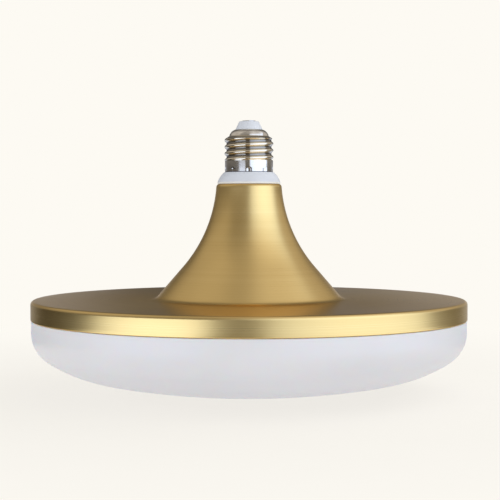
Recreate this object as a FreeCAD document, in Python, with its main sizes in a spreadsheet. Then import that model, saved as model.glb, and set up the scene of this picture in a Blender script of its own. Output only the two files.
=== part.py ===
"""Flying-saucer LED lamp with an E27 cap.

A spun aluminium housing, a trumpet neck that flares into a flat disc with a
short rim, is closed below by an opal dome and above by a plastic collar that
carries the screw cap. Inside are a ring of LEDs on a metal-core board and the
driver that feeds them.

Frame, in millimetres: +Z is the lamp's axis, towards the cap, and the origin is
the lowest point of the dome. X runs along the driver board and Y points away
from its component side.
"""

import FreeCAD
import Part
import Sketcher
import math
import os

# Driving dimensions, one row each: name, value in mm or degrees, what it is.
SIZES = [
    ("disc_radius", 117.3, "outside of the housing's rim"),
    ("rim_height", 10.1, "rim, from its lower edge to the flat top of the disc"),
    ("rim_fillet", 1.9, "rounding between the disc and the rim, outside"),
    ("sheet", 1.2, "thickness of the spun aluminium"),
    ("neck_rise", 62.3, "from the flat of the disc to the top of the neck"),
    ("neck_margin", 4.53, "from the cap's thread out to the neck, below its rounded top"),
    ("neck_rounding", 1.8, "rounding at the top of the neck, outside"),
    ("neck_angle", 4.5, "wall's angle from the axis at the top of the neck"),
    ("flare_radius", 74.9, "hollow arc of the trumpet"),
    ("flare_angle", 40.9, "wall's angle from the axis below the arc"),
    ("foot_fillet", 6.0, "hollow rounding where the trumpet meets the disc"),
    ("neck_lip", 6.73, "width of the turned-in top of the neck"),
    ("dome_inset", 0.3, "from the rim's outside to the dome's upright skirt"),
    ("dome_skirt", 6.931, "upright skirt, from the first arc to the rim's lower edge"),
    ("dome_corner", 17.5, "first arc of the dome, below the skirt"),
    ("dome_corner_angle", 56.3, "angle from level at which that arc ends"),
    ("dome_shoulder", 68.2, "second arc of the dome"),
    ("dome_shoulder_angle", 78.4, "angle from level at which that arc ends"),
    ("dome_wall", 1.8, "thickness of the dome"),
    ("spigot_height", 6.0, "dome's upper edge, standing inside the rim"),
    ("spigot_wall", 1.4, "thickness of that edge"),
    ("spigot_gap", 0.3, "between that edge and the rim, filled with sealant"),
    ("rim_gap", 0.15, "shadow line between the rim and the dome's shoulder"),
    ("dome_edge", 0.5, "rounding of the dome's outer shoulder"),
    ("sealant_low", 1.5, "sealant's lower edge above the rim's lower edge"),
    ("sealant_height", 3.5, "height of the ring of sealant"),
    ("collar_height", 6.3, "visible collar, from the neck to the screw shell"),
    ("collar_inset", 0.68, "from the neck in to the collar's lip on it"),
    ("collar_lip", 0.9, "height of that lip"),
    ("collar_step", 0.6, "from the shell's sleeve out to the top of the collar"),
    ("collar_bulge", 12.0, "radius of the collar's rounded flank"),
    ("tube_wall", 1.4, "thickness of the collar's tube, with the way for the wires in it"),
    ("collar_gap", 0.2, "between the collar's tube and the neck's opening"),
    ("tube_length", 16.0, "collar's tube, hanging inside the neck"),
    ("slot_length", 10.0, "slots in that tube for the driver board"),
    ("cap_spigot", 5.0, "collar's spigot above the shell's plain sleeve"),
    ("sleeve_inset", 0.2, "from the thread's crests in to the plain sleeve below it"),
    ("sleeve_height", 6.4, "height of that sleeve"),
    ("thread_height", 12.8, "threaded length of the screw shell"),
    ("thread_crest", 13.2, "E27 thread, crest radius"),
    ("thread_pitch", 3.629, "E27 thread, 7 turns to the inch"),
    ("thread_swell", 0.11775, "E27 thread, by which its arcs exceed a quarter of the pitch"),
    ("thread_flat", 0.056014, "E27 thread, by which its root cuts the lower arcs short"),
    ("shell_wall", 0.4, "thickness of the screw shell"),
    ("shell_gap", 0.15, "between the shell and the collar's spigot"),
    ("shoulder_height", 3.8, "rounded shoulder above the thread"),
    ("shoulder_inset", 1.5, "from the thread's root in to the shoulder above it"),
    ("shoulder_bulge", 4.6, "radius of the shoulder's rounding"),
    ("crown_radius", 7.5, "flat crown of the shell, below the insulator"),
    ("crown_land", 1.1, "width of that crown, round its opening"),
    ("crimp_count", 9, "dents that lock the shell to the collar"),
    ("crimp_width", 1.9, "width of a dent"),
    ("crimp_height", 2.1, "height of a dent, from the shell's lower edge"),
    ("crimp_depth", 0.25, "depth of a dent"),
    ("insulator_height", 4.5, "visible cone of the insulator"),
    ("insulator_inset", 0.15, "from the crown's edge in to that cone's foot"),
    ("insulator_lean", 2.1, "from that cone's foot in to its top"),
    ("insulator_rounding", 0.7, "rounding of that cone's upper edge"),
    ("insulator_flange_height", 1.5, "height of that flange"),
    ("contact_inset", 1.65, "from that cone's top in to the head of the centre contact"),
    ("contact_height", 0.4, "that head above the insulator"),
    ("contact_seat", 0.4, "that head's depth in the insulator"),
    ("rivet_radius", 1.5, "stem of the centre contact"),
    ("rivet_tail", 1.0, "that stem's end below the insulator"),
    ("rivet_gap", 0.05, "between that stem and its hole"),
    ("collar_screw_count", 3, "screws that hold the collar to the neck"),
    ("collar_screw_inset", 2.6, "from the neck's opening out to their circle"),
    ("collar_screw_radius", 1.2, "their shanks"),
    ("collar_screw_depth", 3.8, "their depth in the collar"),
    ("collar_screw_head", 2.1, "their heads, radius"),
    ("collar_screw_head_height", 1.5, "their heads, height"),
    ("screw_gap", 0.05, "round a shank in the collar"),
    ("screw_clearance", 0.3, "round a shank in the housing or the board"),
    ("pad_sheet", 0.5, "thickness of the thermal pad"),
    ("pad_width", 32.8, "width of the pad, a flat ring"),
    ("pad_margin", 3.0, "from the pad's outer edge to the board's"),
    ("board_inset", 22.3, "from the rim's outside to the LED board's edge"),
    ("board_sheet", 1.2, "thickness of the LED board"),
    ("board_bore", 5.5, "hole at the LED board's centre, radius"),
    ("stud_count", 4, "welded studs that hold the LED board"),
    ("stud_radius", 1.5, "their threads"),
    ("stud_length", 6.0, "their length below the disc"),
    ("stud_flange", 2.2, "their welded foot, radius"),
    ("stud_flange_height", 0.4, "height of that foot"),
    ("nut_flats", 5.5, "nuts on the studs, across the flats"),
    ("nut_height", 2.4, "height of a nut"),
    ("led_width", 2.8, "LED package, along its ring"),
    ("led_length", 3.5, "LED package, across its ring"),
    ("led_height", 0.7, "LED package"),
    ("led_inner_inset", 14.5, "from the trumpet's foot in to the inner ring of LEDs"),
    ("led_inner_count", 12, "LEDs in the inner ring"),
    ("led_middle_count", 18, "LEDs in the middle ring"),
    ("led_outer_count", 24, "LEDs in the outer ring"),
    ("driver_sheet", 1.6, "thickness of the driver board"),
    ("driver_gap", 0.1, "round the driver board in its slots"),
    ("tongue_margin", 0.3, "from the tongue's edge to the tube's outside"),
    ("driver_drop", 1.4, "from the tube's end to the board's shoulders"),
    ("driver_margin", 1.5, "from the board's edge to the nearest component"),
    ("part_gap", 1.0, "between components"),
    ("sleeve_sheet", 0.8, "thickness of the driver's insulating sleeve"),
    ("sleeve_gap", 0.3, "between that sleeve and the neck"),
    ("sleeve_rise", 1.0, "that sleeve's top above the board's shoulders"),
    ("sleeve_clearance", 0.4, "between that sleeve and the driver board"),
    ("fuse_radius", 1.6, "fusible resistor's body"),
    ("fuse_length", 9.0, "fusible resistor's body"),
    ("varistor_radius", 3.5, "varistor's disc"),
    ("varistor_sheet", 3.0, "thickness of that disc"),
    ("film_width", 10.0, "film capacitor, along X"),
    ("film_depth", 8.0, "film capacitor, off the board"),
    ("film_height", 5.0, "film capacitor, along Z"),
    ("output_radius", 4.0, "output capacitor"),
    ("output_length", 10.0, "output capacitor"),
    ("bulk_radius", 5.0, "bulk capacitor"),
    ("bulk_length", 12.0, "bulk capacitor"),
    ("can_groove", 0.5, "depth of the groove round a capacitor's can"),
    ("drum_radius", 5.0, "inductor's drum core"),
    ("drum_length", 9.0, "inductor's drum core"),
    ("drum_flange", 1.4, "thickness of its flanges"),
    ("drum_post", 2.2, "radius of its post"),
    ("winding_margin", 0.4, "from the winding's outside to the flanges' edge"),
    ("bridge_width", 6.5, "bridge rectifier, along X"),
    ("bridge_depth", 2.6, "bridge rectifier, off the board"),
    ("bridge_height", 5.0, "bridge rectifier, along Z"),
    ("chip_width", 5.0, "driver chip, along X"),
    ("chip_depth", 1.5, "driver chip, off the board"),
    ("chip_height", 4.0, "driver chip, along Z"),
    ("resistor_width", 3.2, "chip resistor, along X"),
    ("resistor_depth", 0.6, "chip resistor, off the board"),
    ("resistor_height", 1.6, "chip resistor, along Z"),
    ("resistor_rows", 3, "rows of chip resistors, two in each"),
    ("wire_radius", 0.7, "insulated hook-up wire"),
    ("wire_spread", 2.0, "leads' distance from the middle of the LED board"),
    ("mains_spread", 4.0, "mains wires' distance from the middle, at the board"),
    ("wire_landing", 7.0, "length of wire soldered flat on the driver board"),
    ("lead_landing", 3.5, "length of lead soldered flat on the driver board"),
    ("terminal_width", 8.0, "lead terminal on the LED board, along X"),
    ("terminal_length", 8.0, "lead terminal, along Y"),
    ("terminal_height", 4.0, "lead terminal"),
    ("terminal_start", 8.0, "from the axis to the terminal"),
    ("entry_depth", 3.5, "depth of its wire entries"),
    ("entry_gap", 0.1, "round a wire in its entry"),
]

# Angles round the axis, in degrees from +X.
FULL_TURN = 360.0
FRONT = -90.0
COLLAR_SCREW_START = 90.0
STUD_START = 45.0

# A wire's arc takes this share of the shorter of its two runs.
ARC_SHARE = 0.45

doc = FreeCAD.newDocument("SaucerLamp")
sheet = doc.addObject("Spreadsheet::Sheet", "Sizes")
for row, (name, number, meaning) in enumerate(SIZES, start=1):
    sheet.set(f"A{row}", meaning)
    sheet.set(f"B{row}", str(number))
    sheet.setAlias(f"B{row}", name)
doc.recompute()


class Size:
    """A size with its present value and the text that binds it to the sheet."""

    def __init__(self, value, text):
        self.value = float(value)
        self.text = text

    def __add__(self, other):
        other = as_size(other)
        return Size(self.value + other.value, f"({self.text} + {other.text})")

    def __sub__(self, other):
        other = as_size(other)
        return Size(self.value - other.value, f"({self.text} - {other.text})")

    def __mul__(self, other):
        other = as_size(other)
        return Size(self.value * other.value, f"({self.text} * {other.text})")

    def __truediv__(self, other):
        other = as_size(other)
        return Size(self.value / other.value, f"({self.text} / {other.text})")

    def __neg__(self):
        return Size(-self.value, f"(0 - {self.text})")

    def __rsub__(self, other):
        return as_size(other) - self

    __radd__ = __add__
    __rmul__ = __mul__


def as_size(number):
    """A plain number as a Size; a Size stays as it is."""
    if isinstance(number, Size):
        return number
    return Size(number, f"{number:g}")


def cell(name):
    """The Size held in the sheet's cell of that name."""
    return Size(sheet.get(name), f"Sizes.{name}")


def sine(angle):
    return Size(math.sin(math.radians(angle.value)), f"sin({angle.text})")


def cosine(angle):
    return Size(math.cos(math.radians(angle.value)), f"cos({angle.text})")


def root(number):
    return Size(math.sqrt(number.value), f"sqrt({number.text})")


def larger(one, other):
    return Size(max(one.value, other.value), f"max({one.text}; {other.text})")


def count(name):
    """A whole number from the sheet, for a loop."""
    return int(round(sheet.get(name)))


# The dome's three tangent arcs, outside: corner, shoulder and crown.
dome_r = cell("disc_radius") - cell("dome_inset")
corner_arc = cell("dome_corner")
corner_end = cell("dome_corner_angle")
shoulder_arc = cell("dome_shoulder")
shoulder_end = cell("dome_shoulder_angle")
corner_centre_r = dome_r - corner_arc
shoulder_centre_r = corner_centre_r - (shoulder_arc - corner_arc) * cosine(corner_end)
crown_arc = shoulder_centre_r / cosine(shoulder_end) + shoulder_arc
shoulder_centre_z = crown_arc - (crown_arc - shoulder_arc) * sine(shoulder_end)
corner_centre_z = shoulder_centre_z - (shoulder_arc - corner_arc) * sine(corner_end)

# Levels along the axis, from the dome up.
sheet_wall = cell("sheet")
rim_low = corner_centre_z + cell("dome_skirt")
disc_top = rim_low + cell("rim_height")
disc_under = disc_top - sheet_wall
neck_top = disc_top + cell("neck_rise")
lip_under = neck_top - sheet_wall
shell_low = neck_top + cell("collar_height")
sleeve_top = shell_low + cell("sleeve_height")
thread_top = sleeve_top + cell("thread_height")
crown_top = thread_top + cell("shoulder_height")
insulator_top = crown_top + cell("insulator_height")
tube_low = neck_top - cell("tube_length")
board_top = disc_under - cell("pad_sheet")
board_under = board_top - cell("board_sheet")
driver_top = tube_low - cell("driver_drop")
flange_top = crown_top - cell("shell_wall") - cell("shell_gap")
flange_low = flange_top - cell("insulator_flange_height")
rivet_low = flange_low - cell("rivet_tail")

# The screw shell, from its thread out and in, and what is sized by it.
thread_crest = cell("thread_crest")
half_pitch = cell("thread_pitch") / 2
thread_arc = half_pitch / 2 + cell("thread_swell")
arc_rise = root(4 * thread_arc * thread_arc - half_pitch * half_pitch)
thread_root = thread_crest - 2 * thread_arc + arc_rise + cell("thread_flat")
sleeve_radius = thread_crest - cell("sleeve_inset")
shoulder_radius = thread_root - cell("shoulder_inset")
crown_radius = cell("crown_radius")
crown_bore = crown_radius - cell("crown_land")
insulator_foot = crown_radius - cell("insulator_inset")
insulator_head = insulator_foot - cell("insulator_lean")
contact_radius = insulator_head - cell("contact_inset")
neck_radius = thread_crest + cell("neck_margin")
neck_bore = neck_radius - cell("neck_lip")
tube_radius = neck_bore - cell("collar_gap")
collar_bore = tube_radius - cell("tube_wall")
collar_screw_circle = neck_bore + cell("collar_screw_inset")

# The trumpet's arc and its centre, which lies outside the wall.
neck_angle = cell("neck_angle")
flare_angle = cell("flare_angle")
flare_radius = cell("flare_radius")
flare_start = neck_top - cell("neck_rounding") * (1 - sine(neck_angle))
flare_centre_r = neck_radius + flare_radius * cosine(neck_angle)
flare_centre_z = flare_start + flare_radius * sine(neck_angle)


def trumpet(shift):
    """Corners of one face of the sheet, from the neck's top to the disc.

    shift moves the face inwards from the outside. The corners are the neck's rounding,
    the arc's start and end, the end of the straight slope, and the start of the flat.
    """
    arc = flare_radius + shift
    foot_arc = cell("foot_fillet") + shift
    neck = (flare_centre_r - arc * cosine(neck_angle), flare_centre_z - arc * sine(neck_angle))
    slope = (flare_centre_r - arc * cosine(flare_angle), flare_centre_z - arc * sine(flare_angle))
    foot_z = disc_top + cell("foot_fillet") - foot_arc * sine(flare_angle)
    foot_r = slope[0] + (slope[1] - foot_z) * sine(flare_angle) / cosine(flare_angle)
    flat_r = foot_r + foot_arc * cosine(flare_angle)
    round_r = neck[0] - (cell("neck_rounding") - shift) * cosine(neck_angle)
    return round_r, neck, slope, (foot_r, foot_z), flat_r


# The LED board: its studs stand halfway across the flat between the trumpet's foot and
# the board's edge, and two rings of LEDs halfway between the studs and those.
foot_flat = trumpet(sheet_wall)[-1]
board_radius = cell("disc_radius") - cell("board_inset")
stud_circle = (foot_flat + board_radius) / 2
led_rings = [
    (foot_flat - cell("led_inner_inset"), "led_inner_count"),
    ((foot_flat + stud_circle) / 2, "led_middle_count"),
    ((stud_circle + board_radius) / 2, "led_outer_count"),
]

# The insulating sleeve fits the inside of the trumpet at the sleeve's own top.
driver_sleeve_top = driver_top + cell("sleeve_rise")
drop_to_sleeve = flare_centre_z - driver_sleeve_top
inner_flare = flare_radius + sheet_wall
neck_inside = flare_centre_r - root(inner_flare * inner_flare - drop_to_sleeve * drop_to_sleeve)
driver_sleeve_radius = neck_inside - cell("sleeve_gap")
driver_sleeve_bore = driver_sleeve_radius - cell("sleeve_sheet")

# The driver board and the rows of components on it, from the top down.
board_half = cell("driver_sheet") / 2
margin = cell("driver_margin")
part_gap = cell("part_gap")
driver_half_width = driver_sleeve_bore - cell("sleeve_clearance")
top_row = driver_top - margin
fuse_z = top_row - cell("fuse_radius")
varistor_low = top_row - cell("varistor_sheet")
output_z = fuse_z - cell("fuse_radius") - part_gap - cell("output_radius")
film_low = varistor_low - part_gap - cell("film_height")
drum_z = output_z - cell("output_radius") - part_gap - cell("drum_radius")
bulk_z = film_low - part_gap - cell("bulk_radius")
lowest_can = larger(-(drum_z - cell("drum_radius")), -(bulk_z - cell("bulk_radius")))
bridge_top = -lowest_can - part_gap
bridge_low = bridge_top - cell("bridge_height")
driver_low = bridge_low - margin - cell("lead_landing")

pieces = []


def bind(item, prop, size):
    """Ties one property of an object to the sheet."""
    size = as_size(size)
    item.setExpression(prop, size.text)


def place(item, x=0, y=0, z=0):
    """Ties an object's place to the sheet."""
    for axis, distance in zip("xyz", (x, y, z)):
        bind(item, f".Placement.Base.{axis}", distance)
    return item


def keep(item, label):
    """Marks an object as one finished sub-part."""
    item.Label = label
    pieces.append(item)
    return item


def box(name, low, size):
    """A block from its lowest corner and its three sizes."""
    block = doc.addObject("Part::Box", name)
    for prop, length in zip(("Length", "Width", "Height"), size):
        bind(block, prop, length)
    return place(block, *low)


def cylinder(name, radius, height, centre=(0, 0, 0), along="z"):
    """A cylinder that starts at centre and runs along +Z, +X or +Y."""
    drum = doc.addObject("Part::Cylinder", name)
    bind(drum, "Radius", radius)
    bind(drum, "Height", height)
    turns = {"x": ((0, 1, 0), 90), "y": ((1, 0, 0), -90), "z": ((0, 0, 1), 0)}
    axis, angle = turns[along]
    drum.Placement.Rotation = FreeCAD.Rotation(FreeCAD.Vector(*axis), angle)
    return place(drum, *centre)


def fuse(name, items):
    joined = doc.addObject("Part::MultiFuse", name)
    joined.Shapes = items
    return joined


def group(name, items):
    """Separate solids that share one node."""
    bundle = doc.addObject("Part::Compound", name)
    bundle.Links = items
    return bundle


def cut(name, base, tools):
    """Base less every tool."""
    result = doc.addObject("Part::Cut", name)
    result.Base = base
    result.Tool = tools[0] if len(tools) == 1 else fuse(name + "Tools", tools)
    return result


def around(number, radius, start=0.0):
    """Places on a circle: an X and a Y Size for each of the given number."""
    for index in range(number):
        angle = as_size(start + FULL_TURN * index / number)
        yield index, radius * cosine(angle), radius * sine(angle)


def collar_screw_places():
    return around(count("collar_screw_count"), collar_screw_circle, COLLAR_SCREW_START)


def through(name, radius, low, depth, x=0, y=0):
    """Tool for a hole through a sheet that starts at low, longer than the sheet is thick."""
    return cylinder(name, radius, depth * 3, (x, y, low - depth))


def arc_between(start, end, radius, side):
    """Arc from start to end, its centre on the left (side 1) or right (side -1)."""
    chord = end - start
    half = chord.Length / 2
    height = math.sqrt(max(radius * radius - half * half, 0.0))
    left = FreeCAD.Vector(-chord.y, chord.x, 0).normalize()
    centre = (start + end) / 2 + left * height * side
    first = math.atan2(start.y - centre.y, start.x - centre.x)
    last = math.atan2(end.y - centre.y, end.x - centre.x)
    circle = Part.Circle(centre, FreeCAD.Vector(0, 0, 1), radius)
    if side > 0:
        return Part.ArcOfCircle(circle, first, last if last > first else last + 2 * math.pi)
    return Part.ArcOfCircle(circle, last, first if first > last else first + 2 * math.pi)


def draw(sketch, corners):
    """Draws a closed outline and ties every corner and radius to the sheet.

    A corner is (across, up), or (across, up, radius, side) where an arc leads to the
    next corner, with its centre on the left (side 1) or on the right (side -1).
    """
    points = [FreeCAD.Vector(as_size(c[0]).value, as_size(c[1]).value, 0) for c in corners]
    starts = []
    ends = []
    for index, corner in enumerate(corners):
        here = points[index]
        there = points[(index + 1) % len(points)]
        if len(corner) == 2:
            edge = sketch.addGeometry(Part.LineSegment(here, there), False)
            backwards = False
        else:
            radius, side = corner[2:]
            edge = sketch.addGeometry(arc_between(here, there, radius.value, side), False)
            backwards = side < 0
        starts.append((edge, 2 if backwards else 1))
        ends.append((edge, 1 if backwards else 2))
    for index, corner in enumerate(corners):
        sketch.addConstraint(Sketcher.Constraint("Coincident", *ends[index - 1], *starts[index]))
        for kind, distance, axis in (("DistanceX", corner[0], -2), ("DistanceY", corner[1], -1)):
            distance = as_size(distance)
            if distance.text == "0":
                sketch.addConstraint(Sketcher.Constraint("PointOnObject", *starts[index], axis))
                continue
            rule = Sketcher.Constraint(kind, -1, 1, *starts[index], distance.value)
            number = sketch.addConstraint(rule)
            sketch.setExpression(f"Constraints[{number}]", distance.text)
        if len(corner) == 4:
            rule = Sketcher.Constraint("Radius", starts[index][0], corner[2].value)
            number = sketch.addConstraint(rule)
            sketch.setExpression(f"Constraints[{number}]", corner[2].text)
    return sketch


def origin_plane(body, role):
    return [item for item in body.Origin.OriginFeatures if item.Role == role][0]


def sketch_on(body, name, role="XZ_Plane"):
    sketch = body.newObject("Sketcher::SketchObject", name)
    sketch.AttachmentSupport = [(origin_plane(body, role), "")]
    sketch.MapMode = "FlatFace"
    return sketch


def turned(name, corners):
    """A body turned round the Z axis from its half section, given as (radius, height)."""
    body = doc.addObject("PartDesign::Body", name)
    sketch = draw(sketch_on(body, name + "Section"), corners)
    spin = body.newObject("PartDesign::Revolution", name + "Turned")
    spin.Profile = sketch
    spin.ReferenceAxis = (sketch, ["V_Axis"])
    spin.Angle = FULL_TURN
    return body


def upright_sketch(name, corners):
    """A section in the XZ plane that belongs to no body."""
    sketch = doc.addObject("Sketcher::SketchObject", name)
    sketch.Placement.Rotation = FreeCAD.Rotation(FreeCAD.Vector(1, 0, 0), 90)
    return draw(sketch, corners)


def make_housing():
    """Spun housing: turned-in lip, rounded neck, trumpet, disc and rim in one sheet."""
    top_round = cell("neck_rounding")
    foot = cell("foot_fillet")
    rim_round = cell("rim_fillet")
    outer = cell("disc_radius")
    skin_round, skin_neck, skin_slope, skin_foot, skin_flat = trumpet(as_size(0))
    back_round, back_neck, back_slope, back_foot, back_flat = trumpet(sheet_wall)
    corners = [
        (neck_bore, neck_top),
        (neck_bore, lip_under),
        (back_round, lip_under, top_round - sheet_wall, -1),
        (*back_neck, flare_radius + sheet_wall, 1),
        back_slope,
        (*back_foot, foot + sheet_wall, 1),
        (back_flat, disc_under),
        (outer - rim_round, disc_under, rim_round - sheet_wall, -1),
        (outer - sheet_wall, disc_top - rim_round),
        (outer - sheet_wall, rim_low),
        (outer, rim_low),
        (outer, disc_top - rim_round, rim_round, 1),
        (outer - rim_round, disc_top),
        (skin_flat, disc_top, foot, -1),
        skin_foot,
        (*skin_slope, flare_radius, -1),
        (*skin_neck, top_round, 1),
        (skin_round, neck_top),
    ]
    spun = turned("HousingSpun", corners)
    holes = []
    for index, x, y in collar_screw_places():
        radius = cell("collar_screw_radius") + cell("screw_clearance")
        holes.append(through(f"LipHole{index}", radius, lip_under, sheet_wall, x, y))
    return keep(cut("HousingDrilled", spun, holes), "housing")


def make_diffuser():
    """Opal dome: upright skirt, three tangent arcs, and a thinner edge inside the rim."""
    wall = cell("dome_wall")
    edge = cell("dome_edge")
    crown_r = crown_arc * cosine(shoulder_end)
    crown_z = crown_arc * (1 - sine(shoulder_end))
    corner_r = corner_centre_r + corner_arc * cosine(corner_end)
    corner_z = corner_centre_z - corner_arc * sine(corner_end)
    corner_in = corner_arc - wall
    shoulder_in = shoulder_arc - wall
    edge_top = rim_low - cell("rim_gap")
    spigot_outer = cell("disc_radius") - sheet_wall - cell("spigot_gap")
    spigot_inner = spigot_outer - cell("spigot_wall")
    step = dome_r - wall - spigot_inner
    spigot_top = rim_low + cell("spigot_height")
    corners = [
        (0, 0, crown_arc, 1),
        (crown_r, crown_z, shoulder_arc, 1),
        (corner_r, corner_z, corner_arc, 1),
        (dome_r, corner_centre_z),
        (dome_r, edge_top - edge, edge, 1),
        (dome_r - edge, edge_top),
        (spigot_outer, edge_top),
        (spigot_outer, spigot_top),
        (spigot_inner, spigot_top),
        (spigot_inner, edge_top - wall),
        (dome_r - wall, edge_top - wall - step),
        (dome_r - wall, corner_centre_z, corner_in, -1),
        (
            corner_centre_r + corner_in * cosine(corner_end),
            corner_centre_z - corner_in * sine(corner_end),
            shoulder_in,
            -1,
        ),
        (
            shoulder_centre_r + shoulder_in * cosine(shoulder_end),
            shoulder_centre_z - shoulder_in * sine(shoulder_end),
            crown_arc - wall,
            -1,
        ),
        (0, wall),
    ]
    return keep(turned("Diffuser", corners), "diffuser")


def make_sealant():
    """Ring of silicone between the dome's edge and the rim."""
    outer = cell("disc_radius") - sheet_wall
    low = rim_low + cell("sealant_low")
    inner = outer - cell("spigot_gap")
    top = low + cell("sealant_height")
    corners = [(inner, low), (outer, low), (outer, top), (inner, top)]
    return keep(turned("Sealant", corners), "rim_sealant")


def thread_ridge(name, shift):
    """One helical ridge of the thread; shift moves its face inwards by the wall."""
    crest_centre = thread_crest - thread_arc
    crest_arc = thread_arc - shift
    root_arc = thread_arc + shift
    root_centre = crest_centre + arc_rise
    meet_r = crest_centre + crest_arc * arc_rise / (crest_arc + root_arc)
    meet_z = crest_arc * half_pitch / (crest_arc + root_arc)
    floor = thread_root - shift
    reach = root(root_arc * root_arc - (root_centre - floor) * (root_centre - floor))
    foot_z = half_pitch - reach
    buried = floor - cell("shell_wall") / 2
    start = sleeve_top - cell("thread_pitch") / 2
    corners = [
        (buried, start - foot_z),
        (floor, start - foot_z, root_arc, -1),
        (meet_r, start - meet_z, crest_arc, 1),
        (meet_r, start + meet_z, root_arc, -1),
        (floor, start + foot_z),
        (buried, start + foot_z),
    ]
    section = upright_sketch(name + "Section", corners)
    helix = doc.addObject("Part::Helix", name + "Helix")
    bind(helix, "Pitch", cell("thread_pitch"))
    bind(helix, "Height", cell("thread_height") + cell("thread_pitch"))
    bind(helix, "Radius", crest_centre)
    place(helix, 0, 0, start)
    ridge = doc.addObject("Part::Sweep", name)
    ridge.Sections = [section]
    ridge.Spine = (helix, [])
    ridge.Solid = True
    ridge.Frenet = True
    return ridge


def shell_solid(name, shift, trimmed):
    """The screw shell's outside, or its inside where shift is the wall.

    Untrimmed it is the plain core; trimmed it is the envelope that ends the thread.
    """
    radius = thread_crest if trimmed else thread_root
    body_r = radius - shift
    sleeve_r = sleeve_radius - shift
    shoulder_r = shoulder_radius - shift
    crown_r = crown_radius - shift / 2
    slope = radius - shoulder_radius
    top = crown_top - shift
    corners = [
        (0, shell_low - shift),
        (sleeve_r, shell_low - shift),
        (sleeve_r, sleeve_top - shift),
        (body_r, sleeve_top + cell("shell_wall") - shift),
        (body_r, thread_top - slope / 2),
        (shoulder_r, thread_top + slope / 8, cell("shoulder_bulge") - shift, 1),
        (crown_r, top),
        (0, top),
    ]
    return turned(name, corners)


def threaded(name, shift):
    """Core with its thread, for the outside or the inside of the shell."""
    core = shell_solid(name + "Core", shift, False)
    envelope = shell_solid(name + "Envelope", shift, True)
    ridge = thread_ridge(name + "Ridge", shift)
    trimmed = doc.addObject("Part::Common", name + "RidgeTrimmed")
    trimmed.Base = ridge
    trimmed.Tool = envelope
    return fuse(name, [core, trimmed])


def crimps(name, depth_from, depth_to):
    """Blocks round the foot of the shell, between two distances from the axis."""
    blocks = []
    width = cell("crimp_width")
    for index in range(count("crimp_count")):
        block = doc.addObject("Part::Box", f"{name}{index}")
        bind(block, "Length", depth_to - depth_from)
        bind(block, "Width", width)
        bind(block, "Height", cell("crimp_height") + cell("shell_wall"))
        angle = FULL_TURN * index / count("crimp_count") + FRONT
        turn = FreeCAD.Rotation(FreeCAD.Vector(0, 0, 1), angle)
        block.Placement.Rotation = turn
        along, across = cosine(as_size(angle)), sine(as_size(angle))
        x = depth_from * along + width / 2 * across
        y = depth_from * across - width / 2 * along
        blocks.append(place(block, x, y, shell_low - cell("shell_wall")))
    return blocks


def make_screw_shell():
    """Rolled screw shell with a true helical thread inside and out, crimped at its foot."""
    wall = cell("shell_wall")
    outside = threaded("ShellOuter", as_size(0))
    inside = threaded("ShellInner", wall)
    opening = cylinder("CrownOpening", crown_bore, wall * 4, (0, 0, crown_top - wall * 2))
    face = sleeve_radius - cell("crimp_depth")
    dents = crimps("Dent", face, sleeve_radius + wall)
    hollow = cut("ShellHollow", outside, [inside, opening] + dents)
    return keep(hollow, "screw_shell")


def make_neck_collar():
    """Plastic collar: spigot in the shell, visible flank, lip, and tube in the neck."""
    lip_r = neck_radius - cell("collar_inset")
    spigot_r = thread_root - cell("shell_wall") - cell("shell_gap")
    sleeve_r = sleeve_radius - cell("shell_wall") - cell("shell_gap")
    sleeve_end = sleeve_top - cell("shell_wall") - cell("shell_gap") * 2
    corners = [
        (collar_bore, tube_low),
        (tube_radius, tube_low),
        (tube_radius, neck_top),
        (lip_r, neck_top),
        (lip_r, neck_top + cell("collar_lip"), cell("collar_bulge"), 1),
        (sleeve_radius + cell("collar_step"), shell_low),
        (sleeve_r, shell_low),
        (sleeve_r, sleeve_end),
        (spigot_r, sleeve_end + (sleeve_r - spigot_r)),
        (spigot_r, sleeve_top + cell("cap_spigot")),
        (collar_bore, sleeve_top + cell("cap_spigot")),
    ]
    moulded = turned("CollarMoulded", corners)
    slot_half = board_half + cell("driver_gap")
    tools = [
        box(
            "TubeSlots",
            (-neck_bore, -slot_half, tube_low - part_gap),
            (neck_bore * 2, slot_half * 2, cell("slot_length") + part_gap),
        )
    ]
    pilot = cell("collar_screw_radius") + cell("screw_gap")
    depth = cell("collar_screw_depth") + cell("screw_gap")
    for index, x, y in collar_screw_places():
        tools.append(cylinder(f"Pilot{index}", pilot, depth + part_gap, (x, y, neck_top - part_gap)))
    return keep(cut("CollarCut", moulded, tools), "neck_collar")


def make_collar_screws():
    """Screws from inside the neck, through its lip, up into the collar."""
    screws = []
    shank = cell("collar_screw_depth") + sheet_wall
    head = cell("collar_screw_head_height")
    for index, x, y in collar_screw_places():
        stem = cylinder(f"CollarShank{index}", cell("collar_screw_radius"), shank, (x, y, lip_under))
        knob = cylinder(f"CollarHead{index}", cell("collar_screw_head"), head, (x, y, lip_under - head))
        screws.append(fuse(f"CollarScrew{index}", [knob, stem]))
    return keep(group("CollarScrewGroup", screws), "collar_screws")


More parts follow.
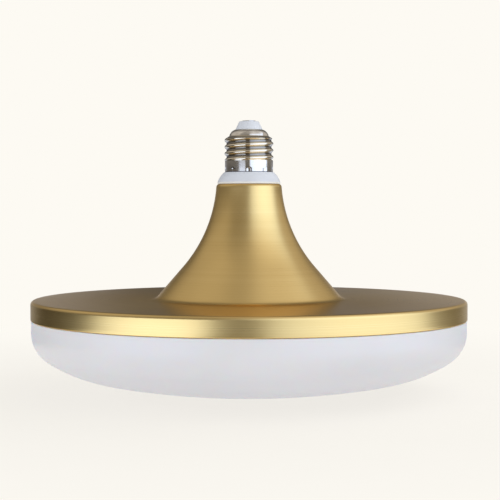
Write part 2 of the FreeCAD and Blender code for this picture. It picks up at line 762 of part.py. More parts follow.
def make_cap_top():
    """Conical insulator through the shell's crown, and the riveted centre contact."""
    waist = crown_bore - cell("shell_gap")
    hole = cell("rivet_radius") + cell("rivet_gap")
    rounding = cell("insulator_rounding")
    seat = contact_radius + cell("rivet_gap")
    seat_z = insulator_top - cell("contact_seat")
    flange = crown_radius - cell("shell_wall") / 2 - cell("shell_gap")
    lean = cell("insulator_lean")
    flank = root(lean * lean + cell("insulator_height") * cell("insulator_height"))
    along = lean / flank
    up = cell("insulator_height") / flank
    tangent = rounding * (1 - along) / up
    corners = [
        (hole, flange_low),
        (flange, flange_low),
        (flange, flange_top),
        (waist, flange_top),
        (waist, crown_top),
        (insulator_foot, crown_top),
        (insulator_head + tangent * along, insulator_top - tangent * up, rounding, 1),
        (insulator_head - tangent, insulator_top),
        (seat, insulator_top),
        (seat, seat_z),
        (hole, seat_z),
    ]
    keep(turned("Insulator", corners), "cap_insulator")
    contact_top = insulator_top + cell("contact_height")
    round_edge = cell("contact_height") / 2
    corners = [
        (0, rivet_low),
        (cell("rivet_radius"), rivet_low),
        (cell("rivet_radius"), seat_z),
        (contact_radius, seat_z),
        (contact_radius, contact_top - round_edge),
        (contact_radius - round_edge, contact_top),
        (0, contact_top),
    ]
    keep(turned("Contact", corners), "cap_contact")


def make_led_board():
    """Thermal pad and metal-core board, with their bores and holes for the studs."""
    pad = cell("pad_sheet")
    board = cell("board_sheet")
    pad_radius = board_radius - cell("pad_margin")
    pad_disc = cylinder("PadDisc", pad_radius, pad, (0, 0, board_top))
    board_disc = cylinder("BoardDisc", board_radius, board, (0, 0, board_under))
    pad_tools = [through("PadBore", pad_radius - cell("pad_width"), board_top, pad)]
    board_tools = [through("BoardBore", cell("board_bore"), board_under, board)]
    foot_hole = cell("stud_flange") + cell("screw_clearance")
    thread_hole = cell("stud_radius") + cell("screw_clearance")
    for index, x, y in around(count("stud_count"), stud_circle, STUD_START):
        pad_tools.append(through(f"PadHole{index}", foot_hole, board_top, pad, x, y))
        board_tools.append(through(f"BoardHole{index}", thread_hole, board_under, board, x, y))
    keep(cut("PadCut", pad_disc, pad_tools), "thermal_pad")
    keep(cut("BoardCut", board_disc, board_tools), "led_board")


def make_studs():
    """Studs welded to the underside of the disc, and the nuts that hold the board to them."""
    studs = []
    nuts = []
    nut = cell("nut_height")
    flange = cell("stud_flange_height")
    length = cell("stud_length")
    bore = cell("stud_radius") + cell("screw_gap")
    for index, x, y in around(count("stud_count"), stud_circle, STUD_START):
        rod = cylinder(f"StudRod{index}", cell("stud_radius"), length, (x, y, disc_under - length))
        foot = cylinder(f"StudFoot{index}", cell("stud_flange"), flange, (x, y, disc_under - flange))
        studs.append(fuse(f"Stud{index}", [rod, foot]))
        prism = doc.addObject("Part::Prism", f"NutPrism{index}")
        prism.Polygon = 6
        bind(prism, "Circumradius", cell("nut_flats") / root(as_size(3)))
        bind(prism, "Height", nut)
        place(prism, x, y, board_under - nut)
        thread = through(f"NutBore{index}", bore, board_under - nut, nut, x, y)
        nuts.append(cut(f"Nut{index}", prism, [thread]))
    keep(group("StudGroup", studs), "board_studs")
    keep(group("NutGroup", nuts), "board_nuts")


def make_leds():
    """Rings of LED packages on the underside of the board, each turned to face the axis."""
    package = Part.makeBox(sheet.led_length, sheet.led_width, sheet.led_height)
    package.translate(FreeCAD.Vector(-sheet.led_length / 2, -sheet.led_width / 2, 0))
    packages = []
    for radius, counter in led_rings:
        number = count(counter)
        for index in range(number):
            copy = package.copy()
            copy.translate(FreeCAD.Vector(radius.value, 0, 0))
            copy.rotate(FreeCAD.Vector(), FreeCAD.Vector(0, 0, 1), FULL_TURN * (index + 0.5) / number)
            packages.append(copy)
    leds = doc.addObject("Part::Feature", "LedGroup")
    leds.Shape = Part.makeCompound(packages)
    place(leds, 0, 0, board_under - cell("led_height"))
    keep(leds, "leds")


def make_driver_board():
    """Driver board hung by its tongue in the collar's slots, inside an insulating sleeve."""
    tongue_half = tube_radius - cell("tongue_margin")
    slot_top = tube_low + cell("slot_length")
    thickness = cell("driver_sheet")
    main = box(
        "DriverMain",
        (-driver_half_width, -board_half, driver_low),
        (driver_half_width * 2, thickness, driver_top - driver_low),
    )
    tongue = box(
        "DriverTongue",
        (-tongue_half, -board_half, driver_top - margin),
        (tongue_half * 2, thickness, slot_top - cell("driver_gap") - driver_top + margin),
    )
    keep(fuse("DriverOutline", [main, tongue]), "driver_board")
    corners = [
        (driver_sleeve_bore, board_top),
        (driver_sleeve_radius, board_top),
        (driver_sleeve_radius, driver_sleeve_top),
        (driver_sleeve_bore, driver_sleeve_top),
    ]
    keep(turned("DriverSleeve", corners), "driver_sleeve")


def standing_can(name, radius, length, groove_at):
    """Half section of an electrolytic can that stands on Z = 0, with its crimped groove."""
    groove = cell("can_groove")
    corners = [
        (0, 0),
        (radius, 0),
        (radius, groove_at),
        (radius - groove, groove_at + groove),
        (radius, groove_at + groove * 2),
        (radius, length - groove),
        (radius - groove, length),
        (0, length),
    ]
    return turned(name, corners)


def off_board(item, x, z):
    """Lays a piece that stands on Z = 0 on the driver board's component side."""
    item.Placement.Rotation = FreeCAD.Rotation(FreeCAD.Vector(1, 0, 0), -90)
    return place(item, x, board_half, z)


def make_components():
    """Components of the driver, in rows down the board."""
    half_gap = part_gap / 2
    fuse_x = -half_gap - cell("fuse_length")
    fuse_y = board_half + cell("fuse_radius")
    body = cylinder("FuseBody", cell("fuse_radius"), cell("fuse_length"), (fuse_x, fuse_y, fuse_z), "x")
    keep(body, "fuse_resistor")
    varistor_at = (half_gap + cell("varistor_radius"), board_half + cell("varistor_radius"), varistor_low)
    disc = cylinder("VaristorDisc", cell("varistor_radius"), cell("varistor_sheet"), varistor_at)
    keep(disc, "varistor")
    film_size = (cell("film_width"), cell("film_depth"), cell("film_height"))
    keep(box("FilmBlock", (half_gap, board_half, film_low), film_size), "film_capacitor")
    output = standing_can("OutputCan", cell("output_radius"), cell("output_length"), part_gap)
    keep(off_board(output, -half_gap - cell("output_radius"), output_z), "output_capacitor")
    bulk = standing_can("BulkCan", cell("bulk_radius"), cell("bulk_length"), part_gap)
    keep(off_board(bulk, half_gap + cell("bulk_radius"), bulk_z), "bulk_capacitor")

    drum = cell("drum_radius")
    flange = cell("drum_flange")
    post = cell("drum_post")
    length = cell("drum_length")
    drum_x = -half_gap - drum
    core = [(0, 0), (drum, 0), (drum, flange), (post, flange), (post, length - flange)]
    core += [(drum, length - flange), (drum, length), (0, length)]
    keep(off_board(turned("DrumCore", core), drum_x, drum_z), "inductor_core")
    coil_r = drum - cell("winding_margin")
    coil = [(post, flange), (coil_r, flange), (coil_r, length - flange), (post, length - flange)]
    keep(off_board(turned("DrumWinding", coil), drum_x, drum_z), "inductor_winding")

    bridge_size = (cell("bridge_width"), cell("bridge_depth"), cell("bridge_height"))
    bridge_at = (-cell("bridge_width") / 2, board_half, bridge_low)
    keep(box("BridgeBlock", bridge_at, bridge_size), "bridge_rectifier")

    back = -board_half
    chip_low = output_z - cell("chip_height") / 2
    chip_at = (-cell("chip_width") / 2, back - cell("chip_depth"), chip_low)
    chip_size = (cell("chip_width"), cell("chip_depth"), cell("chip_height"))
    keep(box("ChipBlock", chip_at, chip_size), "driver_chip")
    blocks = []
    size = (cell("resistor_width"), cell("resistor_depth"), cell("resistor_height"))
    for row in range(count("resistor_rows")):
        low = chip_low - (part_gap + cell("resistor_height")) * (row + 1)
        for side, x in enumerate((-half_gap - cell("resistor_width"), half_gap)):
            blocks.append(box(f"Resistor{row}{side}", (x, back - cell("resistor_depth"), low), size))
    keep(group("ResistorGroup", blocks), "chip_resistors")


def wire_shape(points, radius):
    """Round wire along straight runs joined by tangent arcs; prints the arcs' radii."""
    points = [FreeCAD.Vector(*point) for point in points]
    edges = []
    radii = []
    at = points[0]
    for before, corner, after in zip(points, points[1:], points[2:]):
        back = (before - corner).normalize()
        forth = (after - corner).normalize()
        turn = math.pi - back.getAngle(forth)
        reach = ARC_SHARE * min((before - corner).Length, (after - corner).Length)
        bend = reach / math.tan(turn / 2)
        inwards = (back + forth).normalize()
        middle = corner + inwards * (math.hypot(reach, bend) - bend)
        arc_start = corner + back * reach
        arc_end = corner + forth * reach
        edges.append(Part.LineSegment(at, arc_start).toShape())
        edges.append(Part.Arc(arc_start, middle, arc_end).toShape())
        radii.append(round(bend, 1))
        at = arc_end
    edges.append(Part.LineSegment(at, points[-1]).toShape())
    path = Part.Wire(edges)
    section = Part.Wire(Part.makeCircle(radius, points[0], points[1] - points[0]))
    solid = path.makePipeShell([section], True, False)
    expected = math.pi * radius * radius * path.Length
    print("wire radii", radii, "volume ratio", round(solid.Volume / expected, 4))
    return solid


def make_mains_wires():
    """Live wire from the contact's rivet and neutral wire from the shell, to the driver board.

    Each runs down inside the collar and lies flat on the board's tongue, where it is soldered.
    """
    radius = sheet.wire_radius
    face = board_half.value + radius
    spread = sheet.mains_spread
    tongue_top = tube_low.value + sheet.slot_length
    landing = tongue_top - sheet.wire_landing
    drop = rivet_low.value - tongue_top
    live = [
        (0, 0, rivet_low.value),
        (0, 0, rivet_low.value - drop / 3),
        (spread * 0.75, face, tongue_top + drop / 3),
        (spread, face, tongue_top + radius),
        (spread, face, landing),
    ]
    spigot_top = sleeve_top.value + sheet.cap_spigot
    shell_inside = thread_root.value - sheet.shell_wall
    neutral = [
        (-spread, face, landing),
        (-spread, face, tongue_top + radius),
        (-spread * 1.2, face, (tongue_top + spigot_top) / 2),
        (-spread * 1.6, face, spigot_top - 2 * radius),
        (-(shell_inside - 1.5 * radius), face, (spigot_top + 3 * thread_top.value) / 4),
    ]
    keep_wire("LiveWire", live, "live_wire")
    keep_wire("NeutralWire", neutral, "neutral_wire")


def make_leads():
    """Leads from the driver board, through the LED board's bore, into the terminal."""
    face = board_half.value + sheet.wire_radius
    entry_z = board_under.value - sheet.terminal_height / 2
    entry_end = sheet.terminal_start + sheet.entry_depth
    lead_top = driver_low.value + sheet.lead_landing
    for name, x in (("positive_lead", sheet.wire_spread), ("negative_lead", -sheet.wire_spread)):
        points = [(x, face, lead_top), (x, face, entry_z), (x, entry_end, entry_z)]
        keep_wire(name.title().replace("_", ""), points, name)


def keep_wire(name, points, label):
    wire = doc.addObject("Part::Feature", name)
    wire.Shape = wire_shape(points, sheet.wire_radius)
    keep(wire, label)


def make_terminal():
    """Two-way lead terminal on the underside of the LED board."""
    width = cell("terminal_width")
    low = board_under - cell("terminal_height")
    block = box(
        "TerminalBlock",
        (-width / 2, cell("terminal_start"), low),
        (width, cell("terminal_length"), cell("terminal_height")),
    )
    entries = []
    radius = cell("wire_radius") + cell("entry_gap")
    depth = cell("entry_depth") + cell("entry_gap") + part_gap
    for side, x in enumerate((cell("wire_spread"), -cell("wire_spread"))):
        start = (x, cell("terminal_start") - part_gap, low + cell("terminal_height") / 2)
        entries.append(cylinder(f"Entry{side}", radius, depth, start, "y"))
    keep(cut("TerminalCut", block, entries), "lead_terminal")


make_housing()
make_diffuser()
make_sealant()
make_screw_shell()
make_neck_collar()
make_collar_screws()
make_cap_top()
make_led_board()
make_studs()
make_leds()
make_driver_board()
make_components()
make_mains_wires()
make_leads()
make_terminal()
doc.recompute()

for item in doc.Objects:
    if "Invalid" in item.State or "Error" in item.State:
        raise RuntimeError(f"{item.Label} did not build: {item.State}")
for item in pieces:
    if item.Shape.isNull() or not item.Shape.isValid():
        raise RuntimeError(f"{item.Label} has no valid shape")

os.makedirs("parts", exist_ok=True)
for item in pieces:
    item.Shape.exportStep(f"parts/{item.Label}.step")
    box_now = item.Shape.BoundBox
    print(
        f"{item.Label:18s} solids {len(item.Shape.Solids):3d} volume {item.Shape.Volume:10.1f}"
        f" z {box_now.ZMin:8.2f} {box_now.ZMax:8.2f} x {box_now.XMin:8.2f} {box_now.XMax:8.2f}"
    )
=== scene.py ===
"""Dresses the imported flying-saucer LED lamp and sets it in a small photo studio.

Everything is in metres in the lamp's own frame: +Z is its axis, towards the cap, and the
origin is the lowest point of the dome. Each visible piece stands for one CAD node.
"""

import math
from functools import cached_property
from types import SimpleNamespace

import bmesh
import bpy
from bpy.props import FloatProperty, FloatVectorProperty, IntProperty, PointerProperty
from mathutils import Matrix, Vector


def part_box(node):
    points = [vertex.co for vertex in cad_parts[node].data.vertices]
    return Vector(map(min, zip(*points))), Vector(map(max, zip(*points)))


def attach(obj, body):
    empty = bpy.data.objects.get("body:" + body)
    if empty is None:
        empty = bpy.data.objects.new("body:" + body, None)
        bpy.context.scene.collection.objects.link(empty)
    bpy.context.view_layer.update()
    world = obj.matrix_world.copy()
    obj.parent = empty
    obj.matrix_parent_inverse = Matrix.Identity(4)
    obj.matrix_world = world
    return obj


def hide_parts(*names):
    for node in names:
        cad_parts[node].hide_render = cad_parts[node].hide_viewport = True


bl_info = {
    "name": "Saucer lamp",
    "version": (1, 0, 0),
    "blender": (4, 5, 0),
    "location": "3D View > Sidebar > Saucer lamp",
    "description": "Spun gold housing, opal dome and screw cap of a flying-saucer LED lamp",
    "category": "Object",
}

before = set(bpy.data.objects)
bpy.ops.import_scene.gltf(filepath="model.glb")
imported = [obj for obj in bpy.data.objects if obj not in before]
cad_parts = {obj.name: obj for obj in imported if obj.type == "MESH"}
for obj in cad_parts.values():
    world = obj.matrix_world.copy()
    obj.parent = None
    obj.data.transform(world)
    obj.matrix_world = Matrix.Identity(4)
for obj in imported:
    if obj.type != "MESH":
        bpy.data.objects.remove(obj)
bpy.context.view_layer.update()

MM = 0.001
PER_MM = 1000.0
FULL_TURN = 2 * math.pi
QUARTER = math.pi / 2
BODY = "root"
SHARP_EDGE = math.radians(32)
WIRE_PITCH = 0.35 * MM
FLOOR_RADIUS = 6.0
STAGE_STEPS = 96
FRAME_WIDTH_MM = 36.0
NEAREST_SEEN = 10 * MM


def length(name, description, millimetres):
    return FloatProperty(
        name=name, description=description, default=millimetres * MM,
        min=0.0, unit="LENGTH", subtype="DISTANCE", precision=5,
    )


def angle(name, description, degrees):
    return FloatProperty(
        name=name, description=description, default=math.radians(degrees),
        unit="ROTATION", subtype="ANGLE",
    )


def level(name, description, value):
    return FloatProperty(name=name, description=description, default=value, min=0.0)


def number(name, description, value):
    return IntProperty(name=name, description=description, default=value, min=3)


def colour(name, description, red, green, blue):
    return FloatVectorProperty(
        name=name, description=description, default=(red, green, blue),
        size=3, min=0.0, max=1.0, subtype="COLOR",
    )


class LampSizes(bpy.types.PropertyGroup):
    """Sizes of the lamp's visible pieces."""

    turn_steps: number("Turn steps", "Faces round the housing and the dome", 240)
    sheet: length("Sheet", "Thickness of the spun aluminium", 1.2)
    rim_fillet: length("Rim fillet", "Rounding between the disc and the rim", 1.9)
    rim_hem: length("Rim hem", "Rounding of the rim's lower edge", 0.3)
    neck_radius: length("Neck radius", "Neck, just below its rounded top", 17.73)
    neck_rounding: length("Neck rounding", "Rounding at the top of the neck", 1.8)
    neck_bore: length("Neck bore", "Opening in the turned-in top of the neck", 11.0)
    neck_chamfer: length("Neck chamfer", "Broken edge of that opening", 0.2)
    neck_angle: angle("Neck angle", "Wall's angle from the axis at the neck's top", 4.5)
    flare_radius: length("Flare radius", "Hollow arc of the trumpet", 74.9)
    flare_angle: angle("Flare angle", "Wall's angle from the axis below that arc", 40.9)
    foot_fillet: length("Foot fillet", "Hollow rounding at the trumpet's foot", 6.0)
    disc_height: length("Disc height", "Rim, from its lower edge to the disc's top", 10.1)
    dome_inset: length("Dome inset", "From the rim's outside to the dome's skirt", 0.3)
    dome_corner: length("Dome corner", "First arc of the dome, below the skirt", 17.5)
    dome_corner_angle: angle("Corner angle", "Angle from level where it ends", 56.3)
    dome_shoulder: length("Dome shoulder", "Second arc of the dome", 68.2)
    dome_shoulder_angle: angle("Shoulder angle", "Angle from level where it ends", 78.4)
    dome_wall: length("Dome wall", "Thickness of the dome", 1.8)
    dome_edge: length("Dome edge", "Rounding of the dome's outer shoulder", 0.5)
    rim_gap: length("Rim gap", "Shadow line between the rim and the dome", 0.15)
    spigot_gap: length("Spigot gap", "Between the dome's edge and the rim", 0.3)
    spigot_wall: length("Spigot wall", "Thickness of the dome's edge in the rim", 1.4)
    collar_inset: length("Collar inset", "From the neck in to the collar's lip", 0.68)
    collar_lip: length("Collar lip", "Height of the collar's lip", 0.9)
    lip_rounding: length("Lip rounding", "Rounding of that lip's lower edge", 0.25)
    lip_edge: length("Lip edge", "Straight bit below the lip's crisp upper edge", 0.2)
    collar_step: length("Collar step", "From the sleeve out to the collar's top", 0.6)
    collar_bulge: length("Collar bulge", "Radius of the collar's rounded flank", 12.0)
    collar_chamfer: length("Collar chamfer", "Broken edge at the collar's top", 0.15)
    collar_steps: number("Collar steps", "Faces round the collar", 160)
    tube_wall: length("Tube wall", "Thickness of the collar's tube", 1.4)
    collar_gap: length("Collar gap", "Between that tube and the neck's opening", 0.2)
    cap_spigot: length("Cap spigot", "Collar's spigot above the shell's sleeve", 5.0)
    thread_crest: length("Thread crest", "Crest radius of the screw thread", 13.2)
    thread_depth: length("Thread depth", "From the thread's crests to its root", 1.04)
    thread_pitch: length("Thread pitch", "One turn of the screw thread", 3.629)
    thread_rounding: length("Thread rounding", "Arcs at crest and root", 1.025)
    thread_height: length("Thread height", "Threaded length of the shell", 12.8)
    sleeve_inset: length("Sleeve inset", "From the thread's crests to the sleeve", 0.2)
    sleeve_height: length("Sleeve height", "Plain sleeve at the shell's foot", 6.4)
    shell_wall: length("Shell wall", "Thickness of the screw shell", 0.4)
    shell_gap: length("Shell gap", "Between the shell and the collar's spigot", 0.15)
    shell_steps: number("Shell steps", "Faces round the screw shell", 180)
    shoulder_inset: length("Shoulder inset", "From the thread's root to the shoulder", 1.5)
    shoulder_bulge: length("Shoulder bulge", "Radius of that shoulder's rounding", 4.6)
    crown_radius: length("Crown radius", "Flat crown below the insulator", 7.5)
    crown_land: length("Crown land", "Width of that crown, round its opening", 1.1)
    dent_count: number("Dents", "Dents that lock the shell to the collar", 9)
    dent_width: length("Dent width", "Width of a dent", 1.9)
    dent_height: length("Dent height", "Height of a dent", 2.1)
    dent_depth: length("Dent depth", "Depth of a dent", 0.25)
    cone_inset: length("Cone inset", "From the crown's edge to the insulator's foot", 0.15)
    cone_lean: length("Cone lean", "From the insulator's foot in to its top", 2.1)
    cone_rounding: length("Cone rounding", "Rounding of the insulator's upper edge", 0.7)
    cone_chamfer: length("Cone chamfer", "Broken edge of the insulator's foot", 0.1)
    cone_steps: number("Cone steps", "Faces round the insulator", 120)
    contact_inset: length("Contact inset", "From the insulator's top to the contact", 1.65)
    contact_height: length("Contact height", "Head of the contact above the insulator", 0.4)
    contact_steps: number("Contact steps", "Faces round the contact", 72)
    stem_radius: length("Stem radius", "Riveted stem of the contact", 1.5)
    seat_gap: length("Seat gap", "Between the contact and the insulator", 0.05)


class LampColours(bpy.types.PropertyGroup):
    """Colours of the lamp's finishes, in linear light."""

    gold: colour("Gold", "Satin anodised aluminium", 0.84, 0.59, 0.224)
    gold_deep: colour("Deep gold", "Bottom of its turning lines", 0.76, 0.512, 0.176)
    gold_edge: colour("Gold at a glance", "Its colour where it is seen edge-on", 0.97, 0.88, 0.72)
    opal: colour("Opal", "Opal dome", 0.800, 0.790, 0.820)
    nickel: colour("Nickel", "Nickel plate of the screw shell", 0.87, 0.785, 0.64)
    nickel_deep: colour("Dull nickel", "Handled parts of that plate", 0.62, 0.56, 0.46)
    nickel_rolled: colour("Rolled nickel", "Warm tone of the rolled thread", 0.86, 0.70, 0.42)
    # Painted shade in the grooves of the thread.
    thread_groove_shade: colour("Thread root", "Dark of the thread's grooves", 0.13, 0.12, 0.115)
    # Painted shade: the dark line at the shell's foot, where it meets the collar.
    painted_foot_shade: colour("Foot line", "Dark line at the shell's foot", 0.08, 0.075, 0.07)
    white: colour("White plastic", "Collar and insulator", 0.70, 0.735, 0.80)
    # Painted light: the collar's lip is made lighter and warmer for the light that the gold neck
    # throws on it.
    lip: colour("Collar lip", "Thin edge of the collar on the neck", 0.88, 0.88, 0.84)
    tin: colour("Contact", "Tinned centre contact", 0.72, 0.71, 0.68)
    backdrop: colour("Backdrop", "Pale background", 0.983, 0.956, 0.896)
    floor_light: colour("Floor light", "What the floor gives the plastics", 0.95, 0.955, 1.0)
    panel: colour("Panels", "Light of the tent's panels", 0.58, 0.70, 1.0)
    cloth: colour("Cloth", "Light of the tent's cloth", 1.0, 0.975, 0.99)


class StudioLevels(bpy.types.PropertyGroup):
    """Light of the studio's tent, where 1 shows a white surface as white, and its sizes."""

    fill: level("Fill", "Soft light on plastic and floor", 0.95)
    fill_low: level("Low fill", "Share by which it is stronger near the floor", 0.40)
    fill_left: level("Left fill", "Share by which it is stronger on the lower left", 0.60)
    fill_turn: level("Fill turn", "Share that the right gains on that higher up", 1.50)
    right_panel: level("Right panel", "Tall soft panel on the right, in the metal", 1.62)
    right_edge: level("Right edge", "What that panel's edge by the camera has less", 0.50)
    right_side: level("Right side", "What its far edge has less", 0.25)
    right_drop: level("Right drop", "Share that it loses towards the roof", 0.60)
    left_panel: level("Left panel", "Low soft panel on the left, in the metal", 1.85)
    left_edge: level("Left edge", "Share that its far edge loses", 0.32)
    gap: level("Gap", "Between the panels, at the camera", 0.13)
    cloth: level("Cloth", "Grey cloth above the left panel", 0.30)
    cloth_left: level("Left cloth", "What the far left of that cloth has more", 0.22)
    cloth_right: level("Right cloth", "What that cloth has more beyond the right panel", 0.22)
    cloth_top: level("Top cloth", "What the roof has more", 0.12)
    side: level("Side", "Dark cloth beside the left panel", 0.06)
    side_right: level("Right side cloth", "What the cloth on the right has more", 0.09)
    back_edge: level("Back edges", "What the sides of the low back have more", 0.76)
    back: level("Back", "Cloth low behind the lamp", 0.14)
    back_right: level("Right back", "What it has more on the right", 0.20)
    shadow: level("Shadow", "Share of the lamp's shadow that the floor shows", 0.25)
    floor_glow: level("Floor glow", "Least share of its own light in the floor's", 0.5)
    world: level("World", "World's light on the lamp, where the seen backdrop has 1", 0.4)
    tent_radius: length("Tent radius", "From the lamp's axis to the tent's wall", 500.0)
    tent_wall: length("Tent wall", "Height of that wall", 360.0)
    tent_rounding: length("Tent rounding", "Rounding between the wall and the roof", 160.0)
    tent_foot: length("Tent foot", "Gap between the floor and the tent", 0.6)
    tent_centre: length("Tent centre", "Height that its directions are measured from", 80.0)
    skirt_radius: length("Skirt radius", "Inner edge of the cloth on the floor", 200.0)
    fill_inset: length("Fill inset", "From the tent's wall in to the fill's", 20.0)
    eye_distance: length("Eye distance", "From the lamp's axis to the camera", 728.0)
    eye_height: length("Eye height", "Camera above the dome's lowest point", 101.2)
    lens: level("Lens", "Focal length in millimetres, for a 36 mm frame", 96.62)
    pitch: angle("Pitch", "Camera's tilt below level", 1.92)
    yaw: angle("Yaw", "Camera's turn to the right", 0.043)


class Field:
    """A number that varies over a surface; Python's operators add its Math nodes."""

    def __init__(self, finish, socket):
        self.finish = finish
        self.socket = socket

    def math(self, operation, *values):
        return self.finish.node(
            "ShaderNodeMath", {"operation": operation}, dict(enumerate(values))
        )

    def __add__(self, other):
        return self.math("ADD", self, other)

    def __sub__(self, other):
        return self.math("SUBTRACT", self, other)

    def __rsub__(self, other):
        return self.math("SUBTRACT", other, self)

    def __mul__(self, other):
        return self.math("MULTIPLY", self, other)

    def __truediv__(self, other):
        return self.math("DIVIDE", self, other)

    def __rtruediv__(self, other):
        return self.math("DIVIDE", other, self)

    __radd__ = __add__
    __rmul__ = __mul__

    def __neg__(self):
        return self * -1.0

    def root(self):
        return self.math("SQRT", self)

    def sine(self):
        return self.math("SINE", self)

    def size(self):
        return self.math("ABSOLUTE", self)

    def most(self, other):
        return self.math("MAXIMUM", self, other)

    def rise(self, low, high):
        """0 below low and 1 above high, with a smooth step between them."""
        return self.finish.node(
            "ShaderNodeMapRange", {"interpolation_type": "SMOOTHSTEP"},
            {"Value": self, "From Min": low, "From Max": high},
        )

    def window(self, low, high, soft):
        """1 between low and high, with edges that fade over twice soft."""
        return self.rise(low - soft, low + soft) * (1 - self.rise(high - soft, high + soft))


class Finish:
    """The node tree of one material, or of the world."""

    def __init__(self, name, owner=None):
        self.owner = owner or bpy.data.materials.new(name)
        self.owner.use_nodes = True
        self.tree = self.owner.node_tree
        self.tree.nodes.clear()

    def node(self, kind, settings=None, values=None, output=0):
        """Adds a node, makes its settings, then sets or links its sockets."""
        made = self.tree.nodes.new(kind)
        for name, setting in (settings or {}).items():
            setattr(made, name, setting)
        for name, value in (values or {}).items():
            socket = made.inputs[name]
            if isinstance(value, Field):
                self.tree.links.new(value.socket, socket)
            elif socket.type == "RGBA" and len(value) == 3:
                socket.default_value = (*value, 1.0)
            else:
                socket.default_value = value
        return Field(self, made.outputs[output]) if made.outputs else made

    @cached_property
    def point(self):
        """The point on the surface, as a vector in the lamp's frame."""
        return self.node("ShaderNodeTexCoord", output="Object")

    def place(self):
        """That point's x, y and z."""
        parts = self.node("ShaderNodeSeparateXYZ", values={"Vector": self.point})
        return [Field(self, socket) for socket in parts.socket.node.outputs]

    def texture(self, dimensions, where, scale, detail, roughness):
        """Noise over a vector or over one number."""
        values = {**where, "Scale": scale, "Detail": detail, "Roughness": roughness}
        return self.node("ShaderNodeTexNoise", {"noise_dimensions": dimensions}, values)

    def noise(self, scale, detail=2.0, roughness=0.5):
        """Noise in space, of about scale features a metre."""
        return self.texture("3D", {"Vector": self.point}, scale, detail, roughness)

    def bands(self, along, scale, detail=2.0, roughness=0.5):
        """Noise that varies along one number only."""
        return self.texture("1D", {"W": along}, scale, detail, roughness)

    def between(self, one, two, mask):
        """Colour one where the mask is 0, and two where it is 1."""
        return self.node(
            "ShaderNodeMix", {"data_type": "RGBA"}, {0: mask, 6: one, 7: two}, output=2
        )

    def relief(self, height, distance):
        """Normal of a surface raised by height times distance."""
        return self.node("ShaderNodeBump", values={"Height": height, "Distance": distance})

    def emission(self, **values):
        """Light that the surface gives off: Color=..., Strength=..."""
        return self.node("ShaderNodeEmission", values=values)

    def show(self, shader, output="ShaderNodeOutputMaterial"):
        """Ends the tree with its shader."""
        self.node(output, values={"Surface": shader})
        return self.owner

    def surface(self, **values):
        """Principled surface: Base_Color=..., Roughness=..., and so on."""
        sockets = {name.replace("_", " "): value for name, value in values.items()}
        return self.show(self.node("ShaderNodeBsdfPrincipled", values=sockets))


def scaled(tint, share):
    """A colour made darker or lighter."""
    return tuple(part * share for part in tint)


def spun_gold(colours):
    """Satin gold aluminium with the fine rings that its spinning and polishing leave."""
    finish = Finish("spun_gold")
    x, y, z = finish.place()
    ring = ((x * x + y * y).root() - z) * PER_MM
    fine = finish.bands(ring, scale=2.2, detail=3.0, roughness=0.65)
    broad = finish.bands(ring, scale=0.16)
    cloud = finish.noise(scale=28.0, detail=3.0)
    speck = finish.noise(scale=1400.0, roughness=0.6)
    tone_and_turn_shade = (fine * 0.55 + broad * 0.30 + cloud * 0.15).rise(0.30, 0.70)
    return finish.surface(
        Base_Color=finish.between(colours.gold_deep, colours.gold, tone_and_turn_shade), Metallic=1.0,
        Roughness=0.215 + fine * 0.10 + cloud * 0.05 + speck * 0.02, Anisotropic=0.4,
        Specular_Tint=colours.gold_edge,
        Normal=finish.relief(fine * 0.95 + speck * 0.05, 0.012 * MM),
    )


def opal_plastic(colours):
    """Opal polycarbonate: a soft satin white with the faint clouds of its moulding."""
    finish = Finish("opal_polycarbonate")
    cloud = finish.noise(scale=14.0, detail=3.0, roughness=0.55)
    grain = finish.noise(scale=2600.0, roughness=0.6)
    deep = scaled(colours.opal, 0.955)
    return finish.surface(
        Base_Color=finish.between(deep, colours.opal, cloud.rise(0.3, 0.7)),
        Roughness=0.33 + cloud * 0.08 + grain * 0.04, Specular_IOR_Level=0.35,
        Subsurface_Weight=0.25, Subsurface_Scale=4.0 * MM,
        Normal=finish.relief(grain, 0.004 * MM),
    )


def nickel_plate(colours, sizes, at):
    """Bright nickel on a rolled shell, duller where it was handled, with rolling lines, painted
    shade in the thread's grooves and a painted shadow line at the foot.
    """
    finish = Finish("nickel_plate")
    x, y, z = finish.place()
    lines = finish.bands(z * PER_MM, scale=5.0, detail=3.0, roughness=0.6)
    smear = finish.noise(scale=260.0, detail=3.0, roughness=0.55)
    pits = finish.noise(scale=5200.0, roughness=0.6)
    dull = (smear * 0.7 + lines * 0.3).rise(0.42, 0.68)
    base = finish.between(colours.nickel, colours.nickel_deep, dull)

    # The rolled thread is warmer. Its grooves get painted shade, and the foot, where the shell
    # meets the collar, gets a thin painted shadow line.
    rolled = z.window(at.sleeve_top - 0.2 * MM, at.thread_top + 0.4 * MM, 0.3 * MM)
    base = finish.between(base, colours.nickel_rolled, rolled * 0.55)
    root = sizes.thread_crest - sizes.thread_depth
    # Painted shade: the thread's grooves are darkened where its flanks would shade them.
    painted_groove_shade = 1 - (x * x + y * y).root().rise(root + 0.09 * MM, root + 0.54 * MM)
    threaded = z.window(at.sleeve_top + 0.2 * MM, at.thread_top - 0.4 * MM, 0.2 * MM)
    base = finish.between(base, colours.thread_groove_shade, painted_groove_shade * threaded * 0.75)
    # Painted shade: a thin dark line along the shell's foot, where it meets the collar.
    clear = z.rise(at.shell_low + 0.15 * MM, at.shell_low + 0.6 * MM)
    base = finish.between(colours.painted_foot_shade, base, clear)
    return finish.surface(
        Base_Color=base, Metallic=1.0, Roughness=0.07 + dull * 0.09 + pits * 0.03,
        Normal=finish.relief(lines * 0.7 + pits * 0.3, 0.006 * MM),
    )


